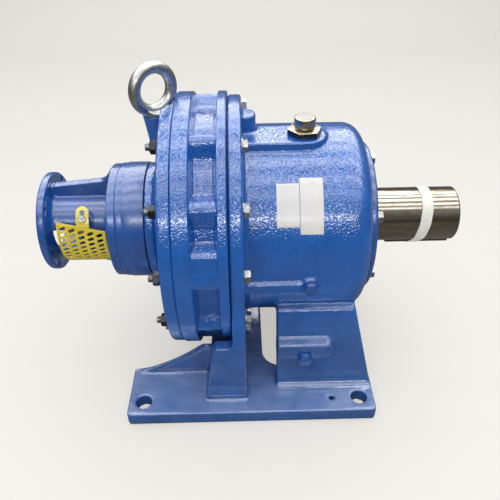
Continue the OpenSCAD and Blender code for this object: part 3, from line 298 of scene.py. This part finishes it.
def smooth(mesh, angle=32, outwards=False):
    """Shades smooth up to this angle between faces."""
    bm = bmesh.new()
    bm.from_mesh(mesh)
    if outwards:
        bmesh.ops.remove_doubles(bm, verts=bm.verts, dist=1e-6)
        bmesh.ops.recalc_face_normals(bm, faces=bm.faces)
    limit = math.radians(angle)
    for f in bm.faces:
        f.smooth = True
    for e in bm.edges:
        e.smooth = len(e.link_faces) == 2 and e.calc_face_angle(0) < limit
    bm.to_mesh(mesh)
    bm.free()
    return mesh


def fit(name, mesh, finish, body="housing", stands_for=(), slot=None):
    """A finished piece on its body, in place of its plain nodes."""
    mesh.materials.clear()
    mesh.materials.append(finish)
    made = link(name, mesh)
    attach(made, body)
    if stands_for:
        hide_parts(*stands_for)
    slot = slot or (slot_of_node.get(stands_for[0]) if stands_for else None)
    return made


def cast_skin(node, cell, passes, keep, finish):
    """A casting: corners and roots run out into soft radii."""
    mesh = worked(
        merged(node),
        ("REMESH", dict(mode="VOXEL", voxel_size=cell, adaptivity=0.0)),
        ("SMOOTH", dict(factor=0.5, iterations=passes)),
        ("DECIMATE", dict(ratio=keep)))
    return fit(node + "_casting", smooth(mesh, 80), finish, stands_for=(node,))


def eased(node, width, finish, angle=32, segments=2):
    """A machined piece: every sharp edge broken by this width."""
    bm = bmesh.new()
    bm.from_mesh(merged(node))
    bmesh.ops.dissolve_limit(bm, angle_limit=math.radians(0.6), verts=bm.verts, edges=bm.edges)
    mesh = bpy.data.meshes.new(node)
    bm.to_mesh(mesh)
    bm.free()
    mesh = worked(mesh, ("BEVEL", dict(width=width, segments=segments, limit_method="ANGLE",
                                       angle_limit=math.radians(angle), use_clamp_overlap=True)),
                  ("TRIANGULATE", dict(min_vertices=5)))
    return fit(node + "_eased", smooth(mesh, angle), finish, body_of_node[node], (node,))


def carry(node, finish):
    """A hidden piece keeps its own shape and takes its finish."""
    for at in nodes[node].material_slots:
        at.material = finish


# ---------- rules for pieces that repeat ----------

class Rule:
    """A Geometry Nodes tree written one step at a time, with named sizes."""

    def __init__(self, name, **sizes):
        self.tree = bpy.data.node_groups.new(name, "GeometryNodeTree")
        face = self.tree.interface
        face.new_socket("Geometry", in_out="INPUT", socket_type="NodeSocketGeometry")
        for label, value in sizes.items():
            kind = "NodeSocketInt" if isinstance(value, int) else "NodeSocketFloat"
            face.new_socket(label, in_out="INPUT", socket_type=kind).default_value = value
        face.new_socket("Finish", in_out="INPUT", socket_type="NodeSocketMaterial")
        face.new_socket("Geometry", in_out="OUTPUT", socket_type="NodeSocketGeometry")
        self.size = self.tree.nodes.new("NodeGroupInput").outputs
        self.end = self.tree.nodes.new("NodeGroupOutput")

    def node(self, kind, feeds=(), **settings):
        made = self.tree.nodes.new(kind)
        for key, value in settings.items():
            setattr(made, key, value)
        for socket, value in dict(feeds).items():
            if isinstance(value, bpy.types.NodeSocket):
                self.tree.links.new(value, made.inputs[socket])
            else:
                made.inputs[socket].default_value = value
        return made

    def math(self, operation, *values):
        return self.node("ShaderNodeMath", dict(enumerate(values)), operation=operation).outputs[0]

    def step(self, value, low, high, to_low, to_high):
        """Soft step from to_low to to_high."""
        return self.node("ShaderNodeMapRange",
                         {"Value": value, "From Min": low, "From Max": high, "To Min": to_low,
                          "To Max": to_high}, interpolation_type="SMOOTHSTEP").outputs["Result"]

    def close(self, geometry):
        real = self.node("GeometryNodeRealizeInstances", {0: geometry})
        dressed = self.node("GeometryNodeSetMaterial",
                            {"Geometry": real.outputs[0], "Material": self.size["Finish"]})
        self.tree.links.new(dressed.outputs[0], self.end.inputs[0])
        return self

    def grow(self, mesh=None, **sizes):
        """The mesh that the rule makes with these sizes."""
        held = link("grow", mesh or bpy.data.meshes.new("seed"))
        work = held.modifiers.new("rule", "NODES")
        work.node_group = self.tree
        known = {s.name: s.identifier for s in self.tree.interface.items_tree
                 if s.in_out == "INPUT"}
        for label, value in sizes.items():
            work[known[label]] = value
        bpy.context.view_layer.update()
        seen = held.evaluated_get(bpy.context.evaluated_depsgraph_get())
        made = bpy.data.meshes.new_from_object(seen)
        held.modifiers.clear()
        bpy.data.objects.remove(held)
        return made


def bolt_circle_rule():
    """Copies of one fastener at even steps round the shaft axis."""
    r = Rule("bolt_circle", Radius=0.1, First=0.0, Step=0.5, Count=6, Station=0.0, Height=0.22,
             Seed=3)
    index = r.node("GeometryNodeInputIndex").outputs[0]
    angle = r.math("ADD", r.size["First"], r.math("MULTIPLY", index, r.size["Step"]))
    place = r.node("ShaderNodeCombineXYZ", {
        0: r.size["Station"],
        1: r.math("MULTIPLY", r.size["Radius"], r.math("COSINE", angle)),
        2: r.math("ADD", r.size["Height"], r.math("MULTIPLY", r.size["Radius"],
                                                r.math("SINE", angle)))})
    points = r.node("GeometryNodePoints", {"Count": r.size["Count"],
                                           "Position": place.outputs[0]})
    spin = r.node("FunctionNodeRandomValue", {"Seed": r.size["Seed"]}, data_type="FLOAT")
    spin.inputs[3].default_value = math.pi
    turn = r.node("ShaderNodeCombineXYZ", {0: spin.outputs[1]})
    copies = r.node("GeometryNodeInstanceOnPoints",
                    {"Points": points.outputs[0], "Instance": r.size["Geometry"],
                     "Rotation": turn.outputs[0]})
    return r.close(copies.outputs[0])


def lobed_ring_rule():
    """Ring gear housing: a channel round the rim, crossed by soft bosses at the bolts."""
    r = Rule("lobed_ring", Bore=0.141, Rim=0.185, Floor=0.163, Start=-0.094, Width=0.068,
             LipStart=0.0212, LipEnd=0.0120, Draft=0.0052, BossCrest=0.0020, BossRoot=0.0255,
             WideCrest=0.0170, WideRoot=0.0350, WideAt=2.94, RimRound=0.0018, Height=0.22,
             FirstBoss=0.6196, BossStep=0.5236, Around=720, Across=84)
    rows = r.math("ADD", r.size["Across"], 3)
    grid = r.node("GeometryNodeMeshGrid", {"Size X": 1.0, "Size Y": 1.0, "Vertices Y": rows,
                                           "Vertices X": r.math("ADD", r.size["Around"], 1)})
    at = r.node("ShaderNodeSeparateXYZ", {0: r.node("GeometryNodeInputPosition").outputs[0]})
    turn = r.math("MULTIPLY", r.math("ADD", at.outputs[0], 0.5), 2 * math.pi)
    row = r.math("MULTIPLY", r.math("ADD", at.outputs[1], 0.5), r.math("ADD", r.size["Across"], 2))
    along = r.node("ShaderNodeClamp", {0: r.math(
        "DIVIDE", r.math("SUBTRACT", row, 1), r.math("SUBTRACT", r.size["Across"], 1))}).outputs[0]
    last = r.math("GREATER_THAN", row, r.math("ADD", r.size["Across"], 1.5))
    along = r.math("MULTIPLY", along, r.math("SUBTRACT", 1, last))
    x = r.math("MULTIPLY", along, r.size["Width"])
    outside = r.math("MULTIPLY", r.math("GREATER_THAN", row, 0.5),
                     r.math("LESS_THAN", row, r.math("ADD", r.size["Across"], 0.5)))
    # angle up from the bottom of the ring, alike on both sides
    up = r.math("ABSOLUTE", r.math("WRAP", r.math("ADD", turn, math.pi / 2), math.pi, -math.pi))
    which = r.math("ROUND", r.math("DIVIDE", r.math("SUBTRACT", up, r.size["FirstBoss"]),
                                   r.size["BossStep"]))
    which = r.node("ShaderNodeClamp", {0: which, 1: 0.0, 2: 4.0}).outputs[0]
    nearest = r.math("ABSOLUTE", r.math("SUBTRACT", r.math("SUBTRACT", up, r.size["FirstBoss"]),
                                        r.math("MULTIPLY", which, r.size["BossStep"])))
    nearest = r.math("MULTIPLY", r.math("MINIMUM", nearest, up), r.size["Rim"])
    wide = r.math("ABSOLUTE", r.math("WRAP", r.math("SUBTRACT", turn, r.size["WideAt"]),
                                     math.pi, -math.pi))
    wide = r.math("MULTIPLY", wide, r.size["Rim"])
    # what is missing from full height: 0 on a lip, 1 on the channel floor
    boss = r.step(nearest, r.size["BossCrest"], r.size["BossRoot"], 0.18, 1.0)
    broad = r.step(wide, r.size["WideCrest"], r.size["WideRoot"], 0.18, 1.0)
    from_end = r.math("SUBTRACT", r.size["Width"], x)
    wall_a = r.math("DIVIDE", r.math("SUBTRACT", x, r.size["LipStart"]), r.size["Draft"])
    wall_b = r.math("DIVIDE", r.math("SUBTRACT", from_end, r.size["LipEnd"]), r.size["Draft"])
    walls = r.math("MINIMUM", wall_a, wall_b)
    missing = r.math("SMOOTH_MIN", walls, r.math("MULTIPLY", boss, broad), 0.10)
    missing = r.math("MAXIMUM", missing, 0.0)
    radius = r.math("SUBTRACT", r.size["Rim"], r.math(
        "MULTIPLY", missing, r.math("SUBTRACT", r.size["Rim"], r.size["Floor"])))
    inset = r.node("ShaderNodeClamp", {0: r.math("SUBTRACT", 1, r.math(
        "DIVIDE", r.math("MINIMUM", x, from_end), r.size["RimRound"]))}).outputs[0]
    arc = r.math("SQRT", r.math("SUBTRACT", 1, r.math("MULTIPLY", inset, inset)))
    radius = r.math("SUBTRACT", radius, r.math("MULTIPLY", r.size["RimRound"],
                                             r.math("SUBTRACT", 1, arc)))
    radius = r.math("ADD", r.math("MULTIPLY", outside, radius),
                    r.math("MULTIPLY", r.math("SUBTRACT", 1, outside), r.size["Bore"]))
    place = r.node("ShaderNodeCombineXYZ", {
        0: r.math("ADD", r.size["Start"], x),
        1: r.math("MULTIPLY", radius, r.math("COSINE", turn)),
        2: r.math("ADD", r.size["Height"], r.math("MULTIPLY", radius, r.math("SINE", turn)))})
    shaped = r.node("GeometryNodeSetPosition", {"Geometry": grid.outputs[0],
                                                "Position": place.outputs[0]})
    closed = r.node("GeometryNodeMergeByDistance", {"Geometry": shaped.outputs[0],
                                                    "Distance": 2e-6})
    return r.close(closed.outputs[0])


# ---------- fasteners, drawn along X from their seat at 0 ----------

def surface(rows, closed_ends=True):
    """A closed skin over rings of points, each as long as the next."""
    bm = bmesh.new()
    rings = [[bm.verts.new(p) for p in row] for row in rows]
    n = len(rows[0])
    for a, b in zip(rings, rings[1:]):
        for k in range(n):
            bm.faces.new((a[k], a[(k + 1) % n], b[(k + 1) % n], b[k]))
    if closed_ends:
        bm.faces.new(reversed(rings[0]))
        bm.faces.new(rings[-1])
    bmesh.ops.remove_doubles(bm, verts=bm.verts, dist=1e-7)
    bmesh.ops.recalc_face_normals(bm, faces=bm.faces)
    mesh = bpy.data.meshes.new("surface")
    bm.to_mesh(mesh)
    bm.free()
    return mesh


def ring_row(x, radius_at, n):
    """A ring of points round X; the radius may follow the angle."""
    row = []
    for k in range(n):
        t = 2 * math.pi * k / n
        radius = radius_at(t) if callable(radius_at) else radius_at
        row.append((x, radius * math.cos(t), radius * math.sin(t)))
    return row


def hexagon(flats):
    return lambda t: flats / 2 / math.cos((t + math.pi / 6) % (math.pi / 3) - math.pi / 6)


def lathe(profile, n=48):
    """Turned piece from (x, radius) pairs."""
    return surface([ring_row(x, max(r, 1e-6), n) for x, r in profile])


def hex_body(flats, height, under=False, n=60):
    """Hexagon with its corners turned off above, and below too for a nut."""
    side = hexagon(flats)
    crown = flats * 0.475
    slope = math.tan(math.radians(30))

    def fall(t):
        return max(0.0, side(t) - crown) * slope

    rows = []
    bottom = [(fall(t), side(t)) if under else (0.0, side(t) * 0.995)
              for t in (2 * math.pi * k / n for k in range(n))]
    if under:
        rows.append(ring_row(0, crown, n))
    rows.append([(b, s * math.cos(2 * math.pi * k / n), s * math.sin(2 * math.pi * k / n))
                 for k, (b, s) in enumerate(bottom)])
    tops = [(height - fall(2 * math.pi * k / n), side(2 * math.pi * k / n)) for k in range(n)]
    rows.append([(b, s * math.cos(2 * math.pi * k / n), s * math.sin(2 * math.pi * k / n))
                 for k, (b, s) in enumerate(tops)])
    rows.append(ring_row(height, crown, n))
    rows.append(ring_row(height, crown * 0.93, n))
    return surface(rows)


def thread(x0, x1, radius, pitch, n=24):
    """Screw thread between two stations, with a pointed lead at x1."""
    depth = 0.54 * pitch
    count = max(4, int(abs(x1 - x0) / pitch * 8))
    rows = [ring_row(x0, radius - depth, n)]
    for j in range(count + 1):
        x = x0 + (x1 - x0) * j / count
        lead = max(0.0, 1 - abs(x1 - x) / (1.2 * pitch)) * depth * 1.3

        def groove(t, x=x, lead=lead):
            phase = (abs(x - x0) / pitch - t / (2 * math.pi)) % 1
            return radius - max(depth * (1 - abs(2 * phase - 1)), lead)

        rows.append(ring_row(x, groove, n))
    return surface(rows)


def together(*meshes):
    bm = bmesh.new()
    for m in meshes:
        bm.from_mesh(m)
    mesh = bpy.data.meshes.new("together")
    bm.to_mesh(mesh)
    bm.free()
    return mesh


def moved(mesh, matrix):
    mesh.transform(matrix)
    return mesh


def washer(x, radius, thick, n=40):
    e = min(0.0004, thick / 4)
    return lathe([(x, radius - e), (x + e, radius), (x + thick - e, radius),
                  (x + thick, radius - e)], n)


bolt_circle = bolt_circle_rule()
lobed_ring = lobed_ring_rule()


def flange_set(mesh, finish, seed):
    """The eleven fasteners of the casing joint: one at the bottom, five up each side."""
    sets = [(-90, 0, 1), (-54.5, 30, 5), (-125.5, -30, 5)]
    grown = [bolt_circle.grow(mesh.copy(), Radius=BOLT_CIRCLE_R, First=math.radians(first),
                              Step=math.radians(step), Count=count, Height=AXIS,
                              Seed=seed + i, Finish=finish)
             for i, (first, step, count) in enumerate(sets)]
    return together(*grown)


# ---------- housing ----------

cast_skin("casing", 0.0021, 7, 0.34, cast_blue)
cast_skin("middle_cover", 0.0019, 5, 0.40, cast_blue)
cast_skin("motor_adapter", 0.0013, 5, 0.45, turned_blue)

ring = lobed_ring.grow(Bore=0.141, Rim=RING_R,
                       Floor=CHANNEL_FLOOR_R, Start=ring_low.x, Width=ring_high.x - ring_low.x,
                       WideAt=math.radians(168.6), Height=AXIS, FirstBoss=math.radians(35.5),
                       BossStep=math.radians(30), Finish=cast_blue)
fit("ring_gear_2_casting", smooth(ring, 60, True), cast_blue, stands_for=("ring_gear_2",))

for name in ("ring_gear_1", "input_cover", "output_cover"):
    eased(name, 0.0008, turned_blue)
for name in ("casing_gasket", "middle_gasket", "output_gasket"):
    eased(name, 0.0001, joint_fibre)

# casing bolts: head, washer and shank from the casing flange, nut and stud end on the plate
bolt_low, bolt_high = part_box("casing_bolts")
nut_low, nut_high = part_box("casing_nuts")
FLATS, HEAD_H, NUT_H = 0.016, 0.0064, 0.0084
WASHER_R, WASHER_T = 0.0095, 0.0018
THREAD_R, THREAD_PITCH, THREAD_LEAD, SHANK_R = 0.0050, 0.0015, 0.0090, 0.0042
seat_x = bolt_high.x - (HEAD_H + WASHER_T)
thread_start = nut_high.x - seat_x - THREAD_LEAD
head = together(washer(0, WASHER_R, WASHER_T),
                moved(hex_body(FLATS, HEAD_H), Matrix.Translation((WASHER_T, 0, 0))))
stud = thread(thread_start, bolt_low.x - seat_x, THREAD_R, THREAD_PITCH)
shank = lathe([(thread_start, SHANK_R), (0.0005, SHANK_R)], 24)
bolts = flange_set(moved(together(head, stud, shank), Matrix.Translation((seat_x, 0, 0))),
                   zinc_plate, 4)
fit("casing_bolts_set", smooth(bolts, 28, True), zinc_plate, stands_for=("casing_bolts",))
nut = together(moved(hex_body(FLATS, NUT_H, True), Matrix.Translation((nut_low.x, 0, 0))),
               washer(nut_high.x - WASHER_T, WASHER_R, WASHER_T))
fit("casing_nuts_set", smooth(flange_set(nut, black_oxide, 9), 28, True), black_oxide,
    stands_for=("casing_nuts",))

carry("output_cover_screws", zinc_plate)
for name in ("adapter_screws", "guard_screws"):
    eased(name, 0.0003, black_oxide if name == "adapter_screws" else zinc_plate)

# lifting eye, forged in one with its collar
eye = worked(merged("lifting_eye"),
             ("REMESH", dict(mode="VOXEL", voxel_size=0.0009)),
             ("SMOOTH", dict(factor=0.5, iterations=8)),
             ("DECIMATE", dict(ratio=0.6)))
fit("lifting_eye_forging", smooth(eye, 80), forged_zinc, stands_for=("lifting_eye",))

# breather
eased("vent_body", 0.0006, yellow_zinc, segments=3)
eased("vent_cap", 0.0006, cap_metal, segments=3)
cap_low, cap_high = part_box("vent_cap")
cap_x, cap_y = (cap_low.x + cap_high.x) / 2, (cap_low.y + cap_high.y) / 2
disc = moved(lathe([(-0.0002, 0.0118), (0.0001, 0.0122), (0.0002, 0.0119)], 64),
             Matrix.Translation((cap_x, cap_y, cap_high.z)) @ Matrix.Rotation(-math.pi / 2, 4, "Y"))
fit("vent_cap_disc", smooth(disc, 40, True), cap_paper)

eased("level_plug", 0.0005, turned_blue)
eased("drain_plug", 0.0005, turned_blue)
eased("guard", 0.00035, guard_yellow)


# ---------- shafts ----------

eased("output_shaft", 0.0008, shaft_steel)
eased("output_key", 0.0005, key_steel)
eased("input_shaft", 0.0006, gear_steel)

for name in nodes:
    if "bearing" in name or "rollers" in name:
        carry(name, bearing_steel)
    elif "seal" in name:
        carry(name, seal_rubber)
    elif name.startswith(("disc_", "ring_pins", "carrier_pins", "input_ecc", "intermediate")):
        carry(name, gear_steel)
for name in ("disc_1a", "disc_1b", "disc_2a", "disc_2b"):
    eased(name, 0.0004, gear_steel, 40)


def barrel_label(name, x0, x1, high, low, radius):
    """Thin blank film on the near side of the barrel; angles up from level, in degrees."""
    bm = bmesh.new()
    across, around = 14, 18
    grid = []
    for j in range(around + 1):
        t = math.radians(low + (high - low) * j / around)
        grid.append([bm.verts.new((x0 + (x1 - x0) * i / across, -radius * math.cos(t),
                                   AXIS + radius * math.sin(t))) for i in range(across + 1)])
    for a, b in zip(grid, grid[1:]):
        for i in range(across):
            bm.faces.new((a[i], a[i + 1], b[i + 1], b[i]))
    mesh = bpy.data.meshes.new(name)
    bm.to_mesh(mesh)
    bm.free()
    mesh = worked(mesh, ("SOLIDIFY", dict(thickness=0.0003, offset=1.0)),
                  ("BEVEL", dict(width=0.0001, segments=2, limit_method="ANGLE")))
    fit(name, smooth(mesh, 30, True), label_film, slot="paint")


barrel_label("label_left", 0.0362, 0.0655, 50, 26.5, BARREL_R + 0.0002)
barrel_label("label_right", 0.0662, 0.0960, 53, 22.5, BARREL_R + 0.0002)


def tape_band():
    """White tape drawn tight round the shaft and over its key."""
    key_low, key_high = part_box("output_key")
    shaft_r, over_key = 0.0403, 0.0003
    outline = [(shaft_r * math.cos(t), shaft_r * math.sin(t))
               for t in (2 * math.pi * k / 240 for k in range(240))]
    corner_y, corner_z = key_high.y + over_key, key_low.z - AXIS - over_key
    outline += [(-corner_y, corner_z), (corner_y, corner_z)]
    hull = [outline[i] for i in convex_hull_2d([Vector(p) for p in outline])]
    ring = []
    for (y0, z0), (y1, z1) in zip(hull, hull[1:] + hull[:1]):
        n = max(1, int(math.hypot(y1 - y0, z1 - z0) / 0.0012))
        ring += [(y0 + (y1 - y0) * k / n, z0 + (z1 - z0) * k / n) for k in range(n)]
    x0, x1, rows, slant = 0.2512, 0.2672, 8, 0.11
    skin = []
    for j in range(rows + 1):
        row = []
        for k, (y, z) in enumerate(ring):
            t = math.atan2(z, y)
            wander = 0.0004 * math.sin(3 * t + 0.6) + 0.0002 * math.sin(11 * t)
            lift = 1 + 0.002 * math.sin(7 * t + j) * math.sin(math.pi * j / rows)
            lean = slant * z
            row.append((x0 + (x1 - x0) * j / rows + wander + lean, y * lift, AXIS + z * lift))
        skin.append(row)
    mesh = surface(skin, closed_ends=False)
    mesh = worked(mesh, ("SOLIDIFY", dict(thickness=0.0004, offset=1.0)))
    fit("shaft_tape", smooth(mesh, 50, True), masking_tape, "output_body", slot="rubber")


tape_band()


# ---------- floor, light and camera ----------

floor_mesh = bpy.data.meshes.new("floor")
half = 30.0
floor_mesh.from_pydata([(-half, -half, 0), (half, -half, 0), (half, half, 0), (-half, half, 0)],
                       [], [(0, 1, 2, 3)])
floor = link("floor", floor_mesh)
PALE = (0.861, 0.840, 0.800)
FLOOR_TO_CAMERA, FLOOR_TO_GLOSS, FLOOR_GAP, BACKDROP_LEVEL = 0.62, 0.85, 0.0002, 0.9
floor_finish = soft_sheet("floor_finish", (0.80, 0.78, 0.74), (0.79, 0.77, 0.73), 0.6, 20, 0.05)
# plain tone to the camera with painted shade darkening it towards the back, and a floor darkened to
# glossy rays, a painted dark reflection
steps = floor_finish.node_tree
ray = steps.nodes.new("ShaderNodeLightPath")
spot = steps.nodes.new("ShaderNodeTexCoord")
depth = steps.nodes.new("ShaderNodeSeparateXYZ")
# painted shade: the floor's tone falls towards the back
painted_falloff = steps.nodes.new("ShaderNodeMapRange")
for socket, value in (("From Min", -0.3), ("From Max", 1.6), ("To Min", 1.0), ("To Max", 0.54)):
    painted_falloff.inputs[socket].default_value = value
steps.links.new(spot.outputs["Object"], depth.inputs[0])
steps.links.new(depth.outputs[1], painted_falloff.inputs["Value"])
shown = steps.nodes["Principled BSDF"].outputs[0]
for seen_by, colour, share in (("Is Camera Ray", PALE, FLOOR_TO_CAMERA),
                               ("Is Glossy Ray", (0, 0, 0), FLOOR_TO_GLOSS)):
    plain = steps.nodes.new("ShaderNodeEmission")
    plain.inputs["Color"].default_value = (*colour, 1)
    steps.links.new(painted_falloff.outputs["Result"], plain.inputs["Strength"])
    part = steps.nodes.new("ShaderNodeMath")
    part.operation = "MULTIPLY"
    part.inputs[1].default_value = share
    either = steps.nodes.new("ShaderNodeMixShader")
    steps.links.new(ray.outputs[seen_by], part.inputs[0])
    steps.links.new(part.outputs[0], either.inputs[0])
    steps.links.new(shown, either.inputs[1])
    steps.links.new(plain.outputs[0], either.inputs[2])
    shown = either.outputs[0]
steps.links.new(shown, steps.nodes["Material Output"].inputs["Surface"])
floor_mesh.materials.append(floor_finish)
floor.location.z = cad_low.z - FLOOR_GAP

# dim light from all round, brighter overhead
world = bpy.data.worlds.new("room")
bpy.context.scene.world = world
world.use_nodes = True
glow = world.node_tree.nodes["Background"]
glow.inputs["Color"].default_value = (1.0, 0.99, 0.97, 1)
way = world.node_tree.nodes.new("ShaderNodeTexCoord")
up = world.node_tree.nodes.new("ShaderNodeSeparateXYZ")
fade = world.node_tree.nodes.new("ShaderNodeMapRange")
fade.interpolation_type = "SMOOTHSTEP"
for socket, value in (("From Min", 0.1), ("From Max", 0.8), ("To Min", 0.12), ("To Max", 0.45)):
    fade.inputs[socket].default_value = value
world.node_tree.links.new(way.outputs["Generated"], up.inputs[0])
world.node_tree.links.new(up.outputs[2], fade.inputs["Value"])
world.node_tree.links.new(fade.outputs["Result"], glow.inputs["Strength"])
# pale backdrop, seen by the camera only
backdrop = world.node_tree.nodes.new("ShaderNodeBackground")
backdrop.inputs["Color"].default_value = (*PALE, 1)
backdrop.inputs["Strength"].default_value = BACKDROP_LEVEL
path = world.node_tree.nodes.new("ShaderNodeLightPath")
room = world.node_tree.nodes.new("ShaderNodeMixShader")
world.node_tree.links.new(path.outputs["Is Camera Ray"], room.inputs[0])
world.node_tree.links.new(glow.outputs[0], room.inputs[1])
world.node_tree.links.new(backdrop.outputs[0], room.inputs[2])
world.node_tree.links.new(room.outputs[0], world.node_tree.nodes["World Output"].inputs[0])


def softbox(name, at, aim, wide, tall, power):
    data = bpy.data.lights.new(name, "AREA")
    data.shape = "RECTANGLE"
    data.size, data.size_y = wide, tall
    data.energy = power
    lamp = link(name, data)
    lamp.location = at
    lamp.rotation_mode = "QUATERNION"
    lamp.rotation_quaternion = (Vector(aim) - Vector(at)).to_track_quat("-Z", "Y")


# rows of long lamps overhead, brighter towards the back
LAMP_ROWS, FIRST_ROW, ROW_STEP, LAMP_HEIGHT = 8, -1.3, 0.75, 2.15
LAMP_LENGTH, LAMP_WIDTH, FRONT_POWER, POWER_STEP = 4.4, 0.36, 11, 3
for row in range(LAMP_ROWS):
    across = FIRST_ROW + ROW_STEP * row
    softbox("ceiling_%d" % row, (0.0, across, LAMP_HEIGHT), (0.0, across, 0.0),
            LAMP_LENGTH, LAMP_WIDTH, FRONT_POWER + POWER_STEP * row)
softbox("front_strip", (-0.1, -1.8, 1.25), (0.0, 0, 0.22), 1.8, 0.16, 8)

camera = bpy.data.cameras.new("camera")
camera.sensor_width, camera.lens = 36, 38.93
camera.clip_start, camera.clip_end = 0.01, 50
eye_point = link("camera", camera)
EYE = (-0.0068151, -0.6941617, 0.6670149)
yaw, pitch, roll = 0.0143, 0.6339, -0.0128
forward = Vector((math.sin(yaw) * math.cos(pitch), math.cos(yaw) * math.cos(pitch),
                  -math.sin(pitch)))
right = Vector((math.cos(yaw), -math.sin(yaw), 0))
above = right.cross(forward)
right, above = (math.cos(roll) * right + math.sin(roll) * above,
                math.cos(roll) * above - math.sin(roll) * right)
eye_point.matrix_world = Matrix.Translation(EYE) @ Matrix((
    (right.x, above.x, -forward.x), (right.y, above.y, -forward.y),
    (right.z, above.z, -forward.z))).to_4x4()
bpy.context.scene.camera = eye_point
bpy.context.scene.view_settings.view_transform = "Standard"
